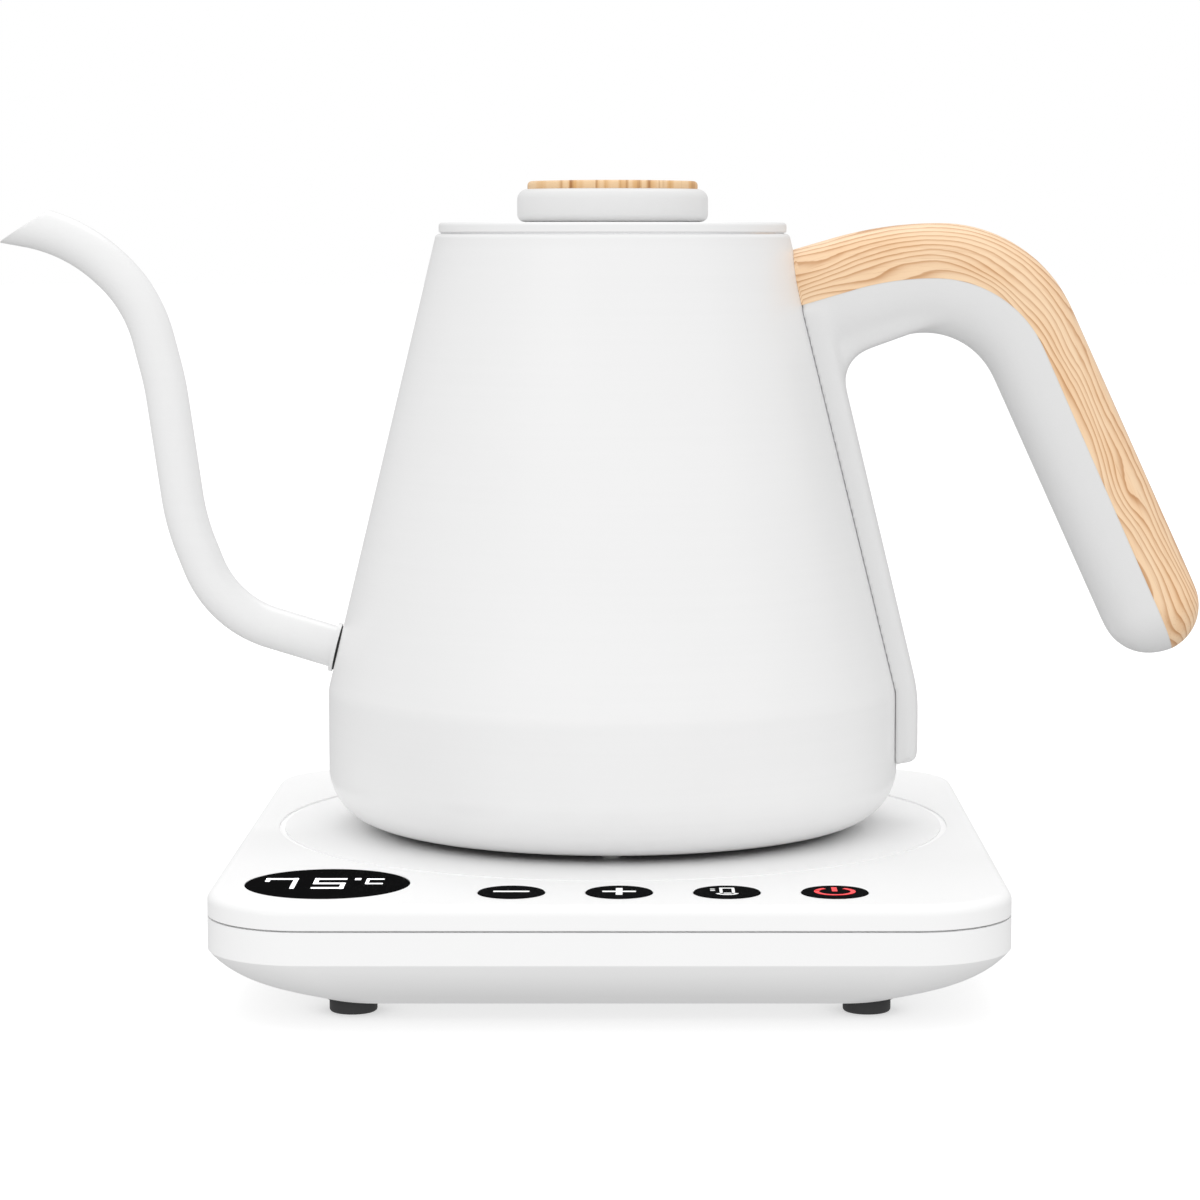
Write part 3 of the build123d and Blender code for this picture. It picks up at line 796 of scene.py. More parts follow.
# ---------------------------------------------------------------------------- kettle body
@dataclass
class Body:
    """The kettle's turned shell, its spout and the collar between them."""

    barrel: float = 75.0
    bottom: float = 33.65
    bottom_bend: float = 14.0
    shoulder: float = 68.2
    shoulder_bend: float = 12.0
    mouth: float = 46.1
    top: float = 187.3
    rim_bend: float = 1.3
    wall: float = 1.2
    spout_radius: float = 5.5
    spout_wall: float = 0.8
    spout_route: list[Point2] = field(default_factory=lambda: [
        (-69.0, 77.3), (-103.0, 87.7), (-112.4, 111.8), (-117.5, 148.5), (-122.9, 169.8),
        (-139.8, 186.9), (-163.0, 191.1)])
    spout_bends: list[float] = field(default_factory=lambda: [28.0, 60.0, 80.0, 36.0, 42.0])
    tip_low: Point2 = (-159.7, 185.4)
    tip_high: Point2 = (-147.0, 193.2)
    tip_from: float = -120.0
    lip_bevel: float = 0.18
    lip_step: float = 0.2
    drill_depth: float = 9.0
    crease: float = 40.0
    collar_height: float = 78.5
    collar_radius: float = 6.5
    collar_top: float = 1.4
    seal_radius: float = 5.9
    seal_low: float = -0.2
    seal_top: float = 0.38

    @property
    def slope(self) -> float:
        """How much the cone's radius falls for each millimetre of height."""
        return (self.barrel - self.mouth) / (self.top - self.shoulder)

    def radius(self, z: float) -> float:
        """Outer radius at a height."""
        return self.barrel - self.slope * max(0.0, z - self.shoulder)

    def _profile(self, inset: float) -> list[Point2]:
        """The wall's outline from the bottom lip to the mouth, moved inwards by inset."""
        lean = math.atan(self.slope)
        across = inset / math.cos(lean)
        bend = self.bottom_bend - inset
        corner = (self.barrel - self.bottom_bend, self.bottom + self.bottom_bend)
        line = arc(corner, bend, -90.0, 0.0, 28)
        shoulder_bend = self.shoulder_bend - inset
        centre = (self.barrel - inset - shoulder_bend,
                  self.shoulder - self.shoulder_bend * math.tan(lean / 2))
        line += arc(centre, shoulder_bend, 0.0, math.degrees(lean), 8)
        low = line[-1]
        rim = self.rim_bend if inset == 0.0 else 0.0
        high = (self.radius(self.top - rim) - across, self.top - rim)
        steps = 40
        line += [(low[0] + (high[0] - low[0]) * i / steps, low[1] + (high[1] - low[1]) * i / steps)
                 for i in range(1, steps + 1)]
        if rim:
            line += arc((high[0] - rim, self.top - rim), rim, 10.0, 90.0, 7)
        return line

    def shell(self) -> None:
        """White coated outside, bare steel inside, with the hole for the spout."""
        outline = self._profile(0.0) + self._profile(self.wall)[::-1]
        shell = lathe("kettle_wall", outline, 256, self.crease)
        start = self.spout_route[0]
        ahead = unit(np.array(self.spout_route[1]) - np.array(start))
        end = tuple(np.array(start) + ahead * self.drill_depth)
        drill = tube_between("drill", start, end, self.spout_radius)
        shell = carve(shell, drill, "kettle_wall")
        shell.data.shade_smooth()
        shell.data.set_sharp_from_angle(angle=math.radians(self.crease))
        dress(shell, COATS.of(Coats.WHITE_COAT), "kettle", "white_coat", "kettle_shell")
        shell.data.materials.append(COATS.of(Coats.BARE_STEEL))
        centre = np.array([AXIS.x, AXIS.y])
        for face in shell.data.polygons:
            middle = np.array(face.center)
            out = middle[:2] - centre
            z = middle[2] / MM
            inward = float(np.dot(out, np.array(face.normal)[:2])) < 0.0
            if inward and np.linalg.norm(out) / MM < self.radius(z) - 0.7 * self.wall:
                face.material_index = 1

    def spout(self) -> None:
        """The swan-neck tube with its slanted, softened lip."""
        line = rounded_path(self.spout_route, self.spout_bends, 1.6)
        ahead = np.gradient(line, axis=0)
        ahead /= np.linalg.norm(ahead, axis=1)[:, None]
        up = np.stack([-ahead[:, 1], ahead[:, 0]], axis=1)
        run = unit(np.array(self.tip_high) - np.array(self.tip_low))
        normal = np.array([-run[1], run[0]])
        angles = np.linspace(0, 2 * math.pi, 64, endpoint=False)

        def skin(radius: float, drop: float) -> np.ndarray:
            """Rings of one radius along the line, stopped at the tip's plane moved in by drop."""
            rings = np.zeros((len(line), len(angles), 3))
            for j, angle in enumerate(angles):
                side, lift = radius * math.cos(angle), radius * math.sin(angle)
                points = line + up * lift
                height = (points - np.array(self.tip_low)) @ normal + drop
                stop = None
                for k in range(len(line)):
                    if stop is None and k and height[k] > 0.0 and points[k][0] < self.tip_from:
                        part = height[k - 1] / (height[k - 1] - height[k])
                        stop = points[k - 1] + (points[k] - points[k - 1]) * part
                    here = points[k] if stop is None else stop
                    rings[k, j] = (here[0], side, here[1])
            return rings

        wall, bevel, step = self.spout_wall, self.lip_bevel, self.lip_step
        outer = skin(self.spout_radius, bevel)
        lip_out = skin(self.spout_radius - step, 0.0)[-1:]
        lip_in = skin(self.spout_radius - wall + step, 0.0)[-1:]
        inner = skin(self.spout_radius - wall, bevel)[::-1]
        rings = list(outer) + list(lip_out) + list(lip_in) + list(inner)
        spout = loft("spout", rings, looped=True, crease=50.0)
        dress(spout, COATS.of(Coats.WHITE_COAT), "kettle", "white_coat", "spout_tube")

    def collar(self) -> None:
        """The plate where the spout meets the wall, standing off it on a dark seal."""
        start, after = np.array(self.spout_route[0]), np.array(self.spout_route[1])
        ahead = unit(after - start)
        lean = math.atan(self.slope)
        foot = np.array([-self.radius(self.collar_height), self.collar_height])
        across = np.array([-math.cos(lean), math.sin(lean)])
        middle = start + ahead * float((foot - start) @ across) / float(ahead @ across)

        def plate(name: str, radius: float, low: float, high: float) -> bpy.types.Object:
            """A ring round the spout between two heights above the wall."""
            bottom, top = tuple(middle + across * low), tuple(middle + across * high)
            ring = tube_between(name, bottom, top, radius)
            drill = tube_between("drill", tuple(middle - ahead * 6.0), tuple(middle + ahead * 8.0),
                                 self.spout_radius + 0.02)
            return carve(ring, drill, name)

        seal = plate("collar_seal", self.seal_radius, self.seal_low, self.seal_top)
        dress(seal, COATS.of(Coats.BLACK_RUBBER), "kettle", "black_rubber")
        ring = plate("collar_plate", self.collar_radius, self.seal_top, self.collar_top)
        dress(ring, COATS.of(Coats.WHITE_COAT), "kettle", "white_coat", "spout_collar")


def tube_between(name: str, start: Point2, end: Point2, radius: float) -> bpy.types.Object:
    """A round bar between two points of the plane through spout and handle."""
    first, last = np.array(start), np.array(end)
    ahead = unit(last - first)
    up = np.array([-ahead[1], ahead[0]])
    angles = np.linspace(0, 2 * math.pi, 64, endpoint=False)
    rings = []
    for point in (first, last):
        flat = point[None, :] + np.sin(angles)[:, None] * up * radius
        rings.append(np.stack([flat[:, 0], radius * np.cos(angles), flat[:, 1]], axis=1))
    return loft(name, rings)


# ---------------------------------------------------------------------------- handle
@dataclass
class Handle:
    """The wooden grip, and the white moulding that carries it down the kettle's side."""

    body: Body
    width: float = 26.0
    fullness: float = 2.5
    outer: list[Point2] = field(default_factory=lambda: [
        (10.0, 172.4), (71.1, 190.1), (109.9, 190.1), (180.0, 36.7)])
    outer_bends: list[float] = field(default_factory=lambda: [100.0, 38.0])
    inner: list[Point2] = field(default_factory=lambda: [
        (30.0, 144.6), (78.0, 161.4), (94.5, 161.4), (158.0, 22.4)])
    inner_bends: list[float] = field(default_factory=lambda: [20.0, 20.0])
    seam: list[Point2] = field(default_factory=lambda: [
        (41.0, 166.6), (72.5, 175.9), (103.5, 175.9), (149.0, 74.8)])
    seam_bends: list[float] = field(default_factory=lambda: [73.0, 31.0])
    cap_centre: Point2 = (141.5, 89.7)
    cap_radius: float = 12.95
    strap_width: float = 28.0
    strap_proud: float = 5.0
    strap_low: float = 49.0
    strap_high: float = 168.0
    strap_round: float = 2.2
    corner: Point2 = (59.0, 154.7)
    corner_bend: float = 9.0
    voxel: float = 0.62
    inset: float = 0.1
    seam_lift: float = 0.9
    wall_gap: float = 0.03
    near_wall: float = 70.0
    web_half: float = 10.5
    web_drop: float = 13.0
    web_rise: float = 12.2
    web_run: float = 34.0
    web_back: float = 7.0

    @staticmethod
    def _hit(origin: np.ndarray, ahead: np.ndarray, path: np.ndarray) -> float:
        """Distance along a line from origin to where it first crosses a path."""
        best = math.inf
        first, last = path[:-1], path[1:]
        edge = last - first
        cross = ahead[0] * edge[:, 1] - ahead[1] * edge[:, 0]
        gap = first - origin
        with np.errstate(divide="ignore", invalid="ignore"):
            far = (gap[:, 0] * edge[:, 1] - gap[:, 1] * edge[:, 0]) / cross
            part = (gap[:, 0] * ahead[1] - gap[:, 1] * ahead[0]) / cross
        good = (part >= -1e-6) & (part <= 1 + 1e-6) & (far > 0)
        if good.any():
            best = float(far[good].min())
        return best

    def stations(self) -> list[dict]:
        """Cuts across the grip along its seam.

        Returns:
            For each cut its seam point, outward direction, half height, half width, how far the
            seam lies above the cut's middle, and the length along the seam.
        """
        outer = rounded_path(self.outer, self.outer_bends, 0.5)
        inner = rounded_path(self.inner, self.inner_bends, 0.5)
        seam = rounded_path(self.seam, self.seam_bends, 0.25)
        ahead = np.gradient(seam, axis=0)
        ahead /= np.linalg.norm(ahead, axis=1)[:, None]
        length = run_length(seam)
        centre = np.array(self.cap_centre)
        cap_from = float(length[np.argmin(np.abs((seam - centre) @ ahead[-1]))])
        tail = cap_from + self.cap_radius * np.sin(np.linspace(0, math.pi / 2, 22))
        marks = np.concatenate([np.arange(0.0, cap_from - 0.5, 1.5), tail])
        cuts = []
        for mark in marks:
            point = np.array([np.interp(mark, length, seam[:, i]) for i in range(2)])
            way = unit(np.array([np.interp(mark, length, ahead[:, i]) for i in range(2)]))
            out = np.array([-way[1], way[0]])
            half_width = self.width / 2
            if mark >= cap_from:
                past = min(mark - cap_from, self.cap_radius)
                half = math.sqrt(max(self.cap_radius ** 2 - past ** 2, 0.0))
                half_width *= math.sqrt(max(1.0 - (past / self.cap_radius) ** 2, 0.0))
                above = float((point - centre) @ out)
            else:
                up, down = self._hit(point, out, outer), self._hit(point, -out, inner)
                half, above = (up + down) / 2, (down - up) / 2
            cuts.append({"seam": point, "out": out, "half": half, "wide": half_width,
                         "above": above, "along": float(mark)})
        return cuts

    def _section(self, cut: dict, wood: bool, count: int = 36) -> np.ndarray:
        """One ring of the wood or of the moulding under it, as (y, height above the seam)."""
        half, wide, above = cut["half"], cut["wide"], cut["above"]
        if not wood:
            half, wide = max(half - self.inset, 0.0), max(wide - self.inset, 0.0)
            above += self.seam_lift
        if half < 1e-4:
            level = -above if wood else self.seam_lift - above
            return np.zeros((count + 8, 2)) + np.array([0.0, level])
        level = float(np.clip(above / half, -1.0, 1.0))
        power = 2.0 / self.fullness
        start = math.asin(math.copysign(abs(level) ** (1.0 / power), level))
        if wood:
            angles = np.linspace(start, math.pi - start, count)
        else:
            angles = np.linspace(math.pi - start, 2 * math.pi + start, count)
        y = wide * np.sign(np.cos(angles)) * np.abs(np.cos(angles)) ** power
        s = half * np.sign(np.sin(angles)) * np.abs(np.sin(angles)) ** power
        closing = np.linspace(0, 1, 10)[1:-1]
        y = np.concatenate([y, y[-1] + (y[0] - y[-1]) * closing])
        s = np.concatenate([s, s[-1] + (s[0] - s[-1]) * closing])
        lift = 0.0 if wood else self.seam_lift
        return np.stack([y, s - above + lift], axis=1)

    def _rings(self, wood: bool) -> tuple[list[np.ndarray], list[np.ndarray]]:
        """Rings of wood or moulding, stopped at the kettle's wall, and their grain points."""
        rings, grains = [], []
        for cut in self.stations():
            section = self._section(cut, wood)
            flat = cut["seam"][None, :] + section[:, 1:2] * cut["out"][None, :]
            rings.append(np.stack([flat[:, 0], section[:, 0], flat[:, 1]], axis=1))
            along = np.full(len(section), cut["along"])
            grains.append(np.stack([along, section[:, 1], section[:, 0]], axis=1))
        for k in range(len(rings) - 2, -1, -1):
            for j, (x, y, z) in enumerate(rings[k]):
                wall = self.body.radius(z) + self.wall_gap
                if x < self.near_wall and math.hypot(x, y) < wall:
                    rings[k][j] = self._to_wall(rings[k][j], rings[k + 1][j])
        return rings, grains

    def _to_wall(self, inside: np.ndarray, outside: np.ndarray) -> np.ndarray:
        """Where the kettle's wall is crossed between two points; the second if both are inside."""
        low, high = 0.0, 1.0
        for _ in range(24):
            middle = (low + high) / 2
            x, y, z = inside + (outside - inside) * middle
            if math.hypot(x, y) < self.body.radius(z) + self.wall_gap:
                low = middle
            else:
                high = middle
        return inside + (outside - inside) * high

    def grip(self) -> None:
        """The wooden outer half, with its grain following its bend."""
        rings, grains = self._rings(True)
        grip = loft("wood_grip", rings, crease=45.0)
        known = np.concatenate(grains)
        places = AXIS.place(np.concatenate(rings))
        grain = grip.data.attributes.new("grain", "FLOAT_VECTOR", "POINT")
        for i, vertex in enumerate(grip.data.vertices):
            nearest = int(np.argmin(np.abs(places - np.array(vertex.co)).sum(axis=1)))
            grain.data[i].vector = Vector(known[nearest] * MM)
        dress(grip, COATS.of(GrainedWood()), "kettle", "ash_wood", "handle_grip")

    def _strap(self) -> bpy.types.Object:
        """The strap that lies along the kettle's side."""
        low, high, soft = self.strap_low, self.strap_high, self.strap_round
        face = rounded_path([(self.body.barrel + self.strap_proud, low - 1.0),
                             (self.body.barrel + self.strap_proud, self.body.shoulder),
                             (self.body.radius(high) + self.strap_proud, high)], [30.0], 1.2)
        rings = []
        levels = [low, low + 0.25, low + 0.7, low + 1.4] + list(np.linspace(low + 2.4, high, 70))
        for z in levels:
            tuck = max(0.0, 1.4 - (z - low))
            tuck = 1.2 - math.sqrt(max(0.0, 1.44 - tuck * tuck)) if tuck < 1.2 else 1.2
            front = float(np.interp(z, face[:, 1], face[:, 0])) - tuck
            half = self.strap_width / 2 - tuck
            wall = self.body.radius(z) + 0.05
            edge = arc((front - soft, -half + soft), soft, -90.0, 0.0, 7)
            edge += arc((front - soft, half - soft), soft, 0.0, 90.0, 7)
            back = [(math.sqrt(wall * wall - y * y), y) for y in np.linspace(half, -half, 14)]
            rings.append(np.array([(x, y, z) for x, y in edge + back]))
        return loft("strap", rings)

    def _web(self) -> bpy.types.Object:
        """The web that rounds the corner between strap and arm."""
        cx, cz = self.corner
        low, high, back = cz - self.web_drop, cz + self.web_rise, cx - self.web_back
        start = (self.body.radius(low) + self.strap_proud - 0.3, low)
        route = [start, (cx, cz), (cx + self.web_run, high)]
        curve = rounded_path(route, [self.corner_bend], 0.8)
        outline = [tuple(p) for p in curve] + [(back, high), (back, low)]
        rings = [np.array([(x, y, z) for x, z in outline]) for y in (-self.web_half, self.web_half)]
        return loft("web", rings)

    def moulding(self) -> None:
        """Arm, leg and strap run together into one smooth moulding."""
        arm = loft("arm", self._rings(False)[0])
        parts = [arm, self._strap(), self._web()]
        work = bmesh.new()
        for part in parts:
            work.from_mesh(part.data)
            bpy.data.objects.remove(part)
        mesh = bpy.data.meshes.new("moulding_rough")
        bmesh.ops.triangulate(work, faces=work.faces)
        work.to_mesh(mesh)
        work.free()
        rough = new_object("moulding_rough", mesh)
        skin = rough.modifiers.new("join", "REMESH")
        skin.mode = "VOXEL"
        skin.voxel_size = self.voxel * MM
        skin.use_smooth_shade = True
        frame_piece = bake(rough, "handle_moulding")
        self._soften(frame_piece.data)
        frame_piece.data.shade_smooth()
        # The moulding's darker white is painted shade; the plastic is the base's white.
        dress(frame_piece, COATS.of(Coats.GREY_WHITE), "kettle", "white_moulding", "handle_frame")

    def _soften(self, mesh: bpy.types.Mesh, rounds: int = 46) -> None:
        """Relax the mesh, but hold it still at the wood's seam and at the kettle's wall."""
        count = len(mesh.vertices)
        places = np.zeros(count * 3)
        mesh.vertices.foreach_get("co", places)
        places = places.reshape(-1, 3)
        edges = np.zeros(len(mesh.edges) * 2, int)
        mesh.edges.foreach_get("vertices", edges)
        edges = edges.reshape(-1, 2)
        drawn = (places - np.array([AXIS.x, AXIS.y, 0.0])) / MM
        hold = np.ones(count)
        cuts = self.stations()
        points = np.array([c["seam"] for c in cuts])
        outs = np.array([c["out"] for c in cuts])
        for start in range(0, count, 4000):
            batch = drawn[start:start + 4000][:, [0, 2]]
            gaps = np.linalg.norm(batch[:, None, :] - points[None, :, :], axis=2)
            near = gaps.argmin(axis=1)
            above = np.einsum("ij,ij->i", batch - points[near], outs[near])
            hold[start:start + 4000] = np.clip((-above - 0.3) / 2.5, 0.0, 1.0)
        wall = np.array([self.body.radius(z) for z in drawn[:, 2]])
        clear = np.hypot(drawn[:, 0], drawn[:, 1]) - wall
        hold *= np.clip((clear - 0.7) / 1.0, 0.0, 1.0)
        degree = np.bincount(edges.ravel(), minlength=count).clip(1)[:, None]
        for _ in range(rounds):
            total = np.zeros_like(places)
            np.add.at(total, edges[:, 0], places[edges[:, 1]])
            np.add.at(total, edges[:, 1], places[edges[:, 0]])
            places += (total / degree - places) * (0.5 * hold)[:, None]
        mesh.vertices.foreach_set("co", places.ravel())
        mesh.update()


# ---------------------------------------------------------------------------- lid
@dataclass
class Lid:
    """The lid's plate, the knob and the wooden disc in its top."""

    radius: float = 45.4
    low: float = 187.6
    high: float = 190.2
    knob: float = 24.9
    knob_top: float = 198.9
    knob_shoulder: float = 196.2
    disc: float = 22.2
    disc_top: float = 201.2

    def plate(self) -> None:
        """Thin round plate with a softened edge and a shallow skirt."""
        r, low, high = self.radius, self.low, self.high
        outline = [(2.2, high - 1.0), (r - 1.5, high - 1.0), (r - 1.5, low), (r - 0.3, low),
                   (r, low + 0.3)]
        outline += arc((r - 0.9, high - 0.9), 0.9, 0.0, 90.0, 8) + [(2.2, high)]
        plate = lathe("lid_plate", outline, 224, 30.0)
        dress(plate, COATS.of(Coats.WHITE_COAT), "lid", "white_coat", "lid_shell")

    def knob_piece(self) -> None:
        """White knob: small bend below, straight wall, wide soft shoulder above."""
        r, low, high = self.knob, self.high, self.knob_top
        outline = [(2.1, low), (7.0, low), (7.0, high - 2.6), (r - 4.0, high - 2.6), (r - 4.0, low),
                   (r - 2.0, low), (r - 2.0, low + 0.2)]
        outline += arc((r - 1.9, low + 2.1), 1.9, -90.0, 0.0, 9)
        outline += [(r, self.knob_shoulder)]
        outline += [(self.disc - 0.1 + (r - self.disc + 0.1) * math.cos(a),
                     self.knob_shoulder + (high - self.knob_shoulder) * math.sin(a))
                    for a in np.radians(np.linspace(8.0, 90.0, 12))]
        outline += [(2.1, high)]
        knob = lathe("knob", outline, 160, 30.0)
        # The knob's darker white is painted shade; the plastic is the base's white.
        dress(knob, COATS.of(Coats.GREY_WHITE), "lid", "white_moulding", "knob_body")

    def disc_piece(self) -> None:
        """Wooden disc with a softened upper edge and a very slight crown."""
        r, low, high = self.disc, self.knob_top, self.disc_top
        outline = [(0.0, low), (r - 0.05, low), (r, low + 0.2), (r, high - 1.5)]
        outline += arc((r - 1.1, high - 1.35), 1.1, 0.0, 78.0, 9)
        outline += [(r * 0.7, high - 0.12), (r * 0.35, high - 0.02), (0.0, high)]
        disc = lathe("knob_disc_wood", outline, 128, 30.0)
        dress(disc, COATS.of(StavedWood()), "lid", "ash_wood", "knob_disc")


# ---------------------------------------------------------------------------- controls
class Symbol(Enum):
    """What is printed on a button."""

    LESS = "minus"
    MORE = "plus"
    WARM = "warm"
    POWER = "power"


@dataclass
class Controls:
    """Symbols on the buttons and the figures in the display."""

    thick: float = 0.05
    white: Mark = Mark("white_mark", (0.85, 0.85, 0.85), 0.35)
    red: Mark = Mark("red_mark", (0.80, 0.012, 0.02), 0.45)
    lit: Mark = Mark("lit_figure", (0.9, 0.9, 0.92), 0.9)
    # This glowing pale line is a painted highlight in the deck's groove.
    pale: Mark = Mark("pale_line", (0.92, 0.92, 0.92), 0.14)
    line_outer: float = 88.24
    line_inner: float = 86.76
    line_low: float = 31.41
    line_high: float = 31.53
    line_bevel: float = 0.06

    @staticmethod
    def _bar(cx: float, cy: float, width: float, height: float) -> list[Point2]:
        """A rectangle with slightly cut corners."""
        a, b, c = width / 2, height / 2, 0.18
        return [(cx - a + c, cy - b), (cx + a - c, cy - b), (cx + a, cy - b + c),
                (cx + a, cy + b - c), (cx + a - c, cy + b), (cx - a + c, cy + b),
                (cx - a, cy + b - c), (cx - a, cy - b + c)]

    @staticmethod
    def _sector(centre: Point2, outer: float, inner: float, start: float,
                end: float) -> list[list[Point2]]:
        """A ring's stretch, as short four-sided pieces."""
        count = 36
        outside = arc(centre, outer, start, end, count)
        inside = arc(centre, inner, start, end, count)
        return [[outside[i], outside[i + 1], inside[i + 1], inside[i]] for i in range(count - 1)]

    def _centre(self, node: str) -> tuple[Point2, float]:
        """Middle of a node's top, in millimetres about the axis, and its height."""
        low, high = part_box(node)
        x = ((low.x + high.x) / 2 - AXIS.x) / MM
        y = ((low.y + high.y) / 2 - AXIS.y) / MM
        return (x, y), high.z / MM

    def _outlines(self, symbol: Symbol, centre: Point2) -> list[list[Point2]]:
        """The outlines of one symbol."""
        x, y = centre
        if symbol is Symbol.LESS:
            return [self._bar(x, y, 8.6, 1.5)]
        if symbol is Symbol.MORE:
            return [self._bar(x - 2.4, y, 3.2, 1.5), self._bar(x + 2.4, y, 3.2, 1.5),
                    self._bar(x, y, 1.6, 8.4)]
        if symbol is Symbol.WARM:
            marks = [self._bar(x - 1.4, y + 1.0, 0.7, 5.6), self._bar(x + 1.5, y + 1.0, 0.7, 5.6),
                     self._bar(x, y + 4.2, 3.6, 0.9), self._bar(x + 0.1, y - 2.2, 1.9, 0.9),
                     self._bar(x - 3.4, y + 3.0, 1.2, 0.7), self._bar(x - 3.4, y + 1.2, 1.2, 0.7)]
            return marks + self._sector((x, y - 1.6), 2.9, 2.0, 200.0, 340.0)
        return self._sector(centre, 4.95, 3.75, 122.0, 418.0) + [self._bar(x, y + 2.6, 1.3, 5.2)]

    def symbols(self) -> None:
        """A symbol on each button."""
        for symbol in Symbol:
            node = "button_" + symbol.value
            centre, top = self._centre(node)
            outlines = self._outlines(symbol, centre)
            marks = plates("symbol_" + symbol.value, outlines, top, self.thick)
            mark = self.red if symbol is Symbol.POWER else self.white
            dress(marks, COATS.of(mark), symbol.value + "_key", "black_gloss")

    def ring_inlay(self) -> None:
        """A pale, faintly glowing ring in the deck's round groove: a painted highlight for the light that the
        groove's bevel catches.
        """
        outer, inner = self.line_outer, self.line_inner
        low, high, bevel = self.line_low, self.line_high, self.line_bevel
        outline = [(inner, low), (outer, low), (outer, high - bevel), (outer - bevel, high),
                   (inner + bevel, high), (inner, high - bevel)]
        # The ring is a painted highlight, not a part of the base.
        ring = lathe("deck_line", outline, 256)
        dress(ring, COATS.of(self.pale), "base", "white_moulding")

    def figures(self) -> None:
        """The temperature that shows in the display: two figures and a unit."""
        (_, cy), top = self._centre("display_window")
        tall, wide, bar, post = 13.4, 7.8, 1.75, 1.1
        high, low = cy + tall / 2 + 0.2, cy - tall / 2 + 0.2
        seven, five = -79.2, -67.4
        strokes = [
            self._bar(seven, high - bar / 2, wide, bar),
            self._bar(seven + wide / 2 - post / 2, (high + low) / 2, post, tall),
            self._bar(seven - wide / 2 + post / 2, high - 2.2, post, 4.4),
            self._bar(five, high - bar / 2, wide, bar),
            self._bar(five - wide / 2 + post / 2, high - tall / 4, post, tall / 2),
            self._bar(five, (high + low) / 2, wide, bar),
            self._bar(five + wide / 2 - post / 2, low + tall / 4, post, tall / 2),
            self._bar(five, low + bar / 2, wide, bar),
            self._bar(-60.9, high - 1.0, 1.5, 2.4),
            self._bar(-56.6, high - 1.0, 4.2, 1.3),
            self._bar(-58.4, high - 4.0, 0.8, 6.6),
            self._bar(-56.6, high - 6.9, 4.2, 1.3),
        ]
        figures = plates("display_figures", strokes, top, self.thick)
        dress(figures, COATS.of(self.lit), "base", "black_gloss")


# ---------------------------------------------------------------------------- the other nodes
def paint_nodes() -> None:
    """Give every CAD node that still shows the finish of its slot."""
    special = {"display_window": COATS.of(SmokedWindow())}
    for part in frame["record"]["subparts"]:
        node = frame["nodes"][part["node"]]
        node.data.materials.clear()
        finish = special.get(part["node"]) or COATS.by_slot(part["material_slot"])
        node.data.materials.append(finish)


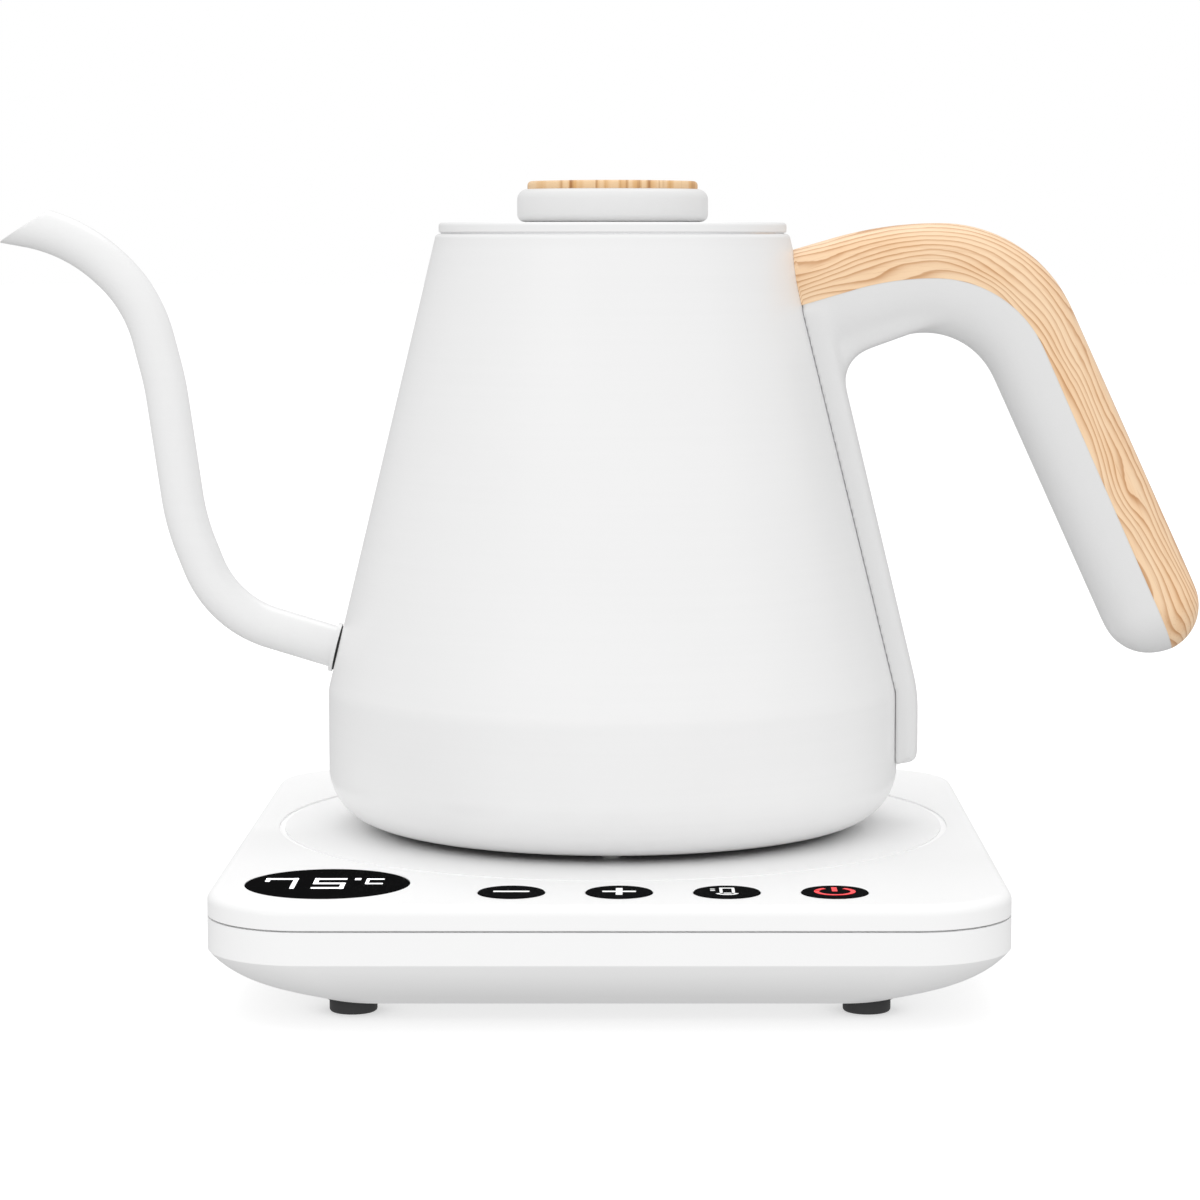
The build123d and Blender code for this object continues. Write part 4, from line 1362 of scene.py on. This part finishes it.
# ---------------------------------------------------------------------------- studio
@dataclass
class Studio:
    """Camera, pale floor and soft light."""

    eye: tuple[float, float, float] = (8.66, -928.62, 187.245)
    pitch: float = 5.912
    lens: float = 106.04
    shift: float = -0.03815
    floor_glow: float = 0.50
    level: float = 0.83
    lean: tuple[float, float, float] = (0.0, -0.25, 0.29)

    def camera(self) -> None:
        """The camera, level across and tipped a little down."""
        data = bpy.data.cameras.new("studio_camera")
        data.lens = self.lens
        data.sensor_width = 36.0
        data.shift_x = self.shift
        data.clip_start = 0.05
        data.clip_end = 60.0
        camera = new_object("studio_camera", data)
        camera.location = Vector(AXIS.place(np.array(self.eye)))
        camera.rotation_euler = (math.radians(90.0 - self.pitch), 0.0, 0.0)
        bpy.context.scene.camera = camera

    def floor(self) -> None:
        """A wide pale floor."""
        half = 12.0
        mesh = bpy.data.meshes.new("floor")
        around = [(-half, -half, 0.0), (half, -half, 0.0), (half, half, 0.0), (-half, half, 0.0)]
        mesh.from_pydata(around, [], [(0, 1, 2, 3)])
        floor = new_object("floor", mesh)
        shader = Shader("pale_floor")
        cloud = shader.noise(shader.object_points(), 3.0)
        shader.set("Base Color", shader.blend(cloud, (0.62, 0.62, 0.62), (0.64, 0.64, 0.64)))
        shader.set("Roughness", 0.9)
        shader.set("Specular IOR Level", 0.0)
        shader.set("Emission Color", (1.0, 1.0, 1.0))
        shader.set("Emission Strength", self.floor_glow)
        mesh.materials.append(shader.material)
        floor.visible_diffuse = False
        floor.visible_glossy = False

    def softbox(self, name: str, place: tuple[float, float, float], aim: tuple[float, float, float],
                size: tuple[float, float], power: float) -> None:
        """One rectangular soft light.

        Args:
            name: the light's name.
            place: where it stands, in metres.
            aim: the point it faces, in metres.
            size: its width and height, in metres.
            power: its power in watts.
        """
        data = bpy.data.lights.new(name, "AREA")
        data.shape = "RECTANGLE"
        data.size, data.size_y = size
        data.energy = power
        light = new_object(name, data)
        light.location = place
        light.rotation_euler = (Vector(aim) - Vector(place)).to_track_quat("-Z", "Y").to_euler()

    def world(self) -> None:
        """A white surround whose light leans to one side; seen directly it is plain white."""
        world = bpy.data.worlds.new("surround")
        world.use_nodes = True
        tree = world.node_tree
        back = tree.nodes["Background"]
        back.inputs["Color"].default_value = (1.0, 1.0, 1.0, 1.0)
        way = tree.nodes.new("ShaderNodeTexCoord")
        lean = tree.nodes.new("ShaderNodeVectorMath")
        lean.operation = "DOT_PRODUCT"
        lean.inputs[1].default_value = self.lean
        level = tree.nodes.new("ShaderNodeMath")
        level.inputs[1].default_value = self.level
        direct = tree.nodes.new("ShaderNodeLightPath")
        strength = tree.nodes.new("ShaderNodeMath")
        strength.operation = "MAXIMUM"
        tree.links.new(way.outputs["Generated"], lean.inputs[0])
        tree.links.new(lean.outputs["Value"], level.inputs[0])
        tree.links.new(level.outputs[0], strength.inputs[0])
        tree.links.new(direct.outputs["Is Camera Ray"], strength.inputs[1])
        tree.links.new(strength.outputs[0], back.inputs["Strength"])
        bpy.context.scene.world = world
        bpy.context.scene.view_settings.view_transform = "Standard"

    def build(self) -> None:
        """Set up everything."""
        self.camera()
        self.floor()
        self.world()
        self.softbox("key", (-0.9, -1.2, 1.3), (0.0, 0.0, 0.1), (0.9, 0.9), 1.5)
        self.softbox("over", (0.0, 1.0, 1.8), (0.0, 0.0, 0.1), (1.4, 1.0), 7.5)
        self.softbox("fill", (1.3, -0.9, 0.7), (0.0, 0.0, 0.1), (0.5, 1.0), 0.3)
        LOG.info("studio ready")


def main() -> None:
    """Build every piece in order."""
    logging.basicConfig(level=logging.INFO, format="%(name)s: %(message)s")
    Studio().build()
    paint_nodes()
    body = Body()
    body.shell()
    body.spout()
    body.collar()
    handle = Handle(body)
    handle.grip()
    handle.moulding()
    lid = Lid()
    lid.plate()
    lid.knob_piece()
    lid.disc_piece()
    controls = Controls()
    controls.symbols()
    controls.figures()
    controls.ring_inlay()
    fasteners = Fasteners()
    fasteners.base_feet()
    fasteners.kettle_feet()
    fasteners.screws()


def corners(box: Sequence[Vector]) -> list[list[float]]:
    """A box as plain lists of numbers."""
    return [list(corner) for corner in box]


if __name__ == "__main__":
    main()
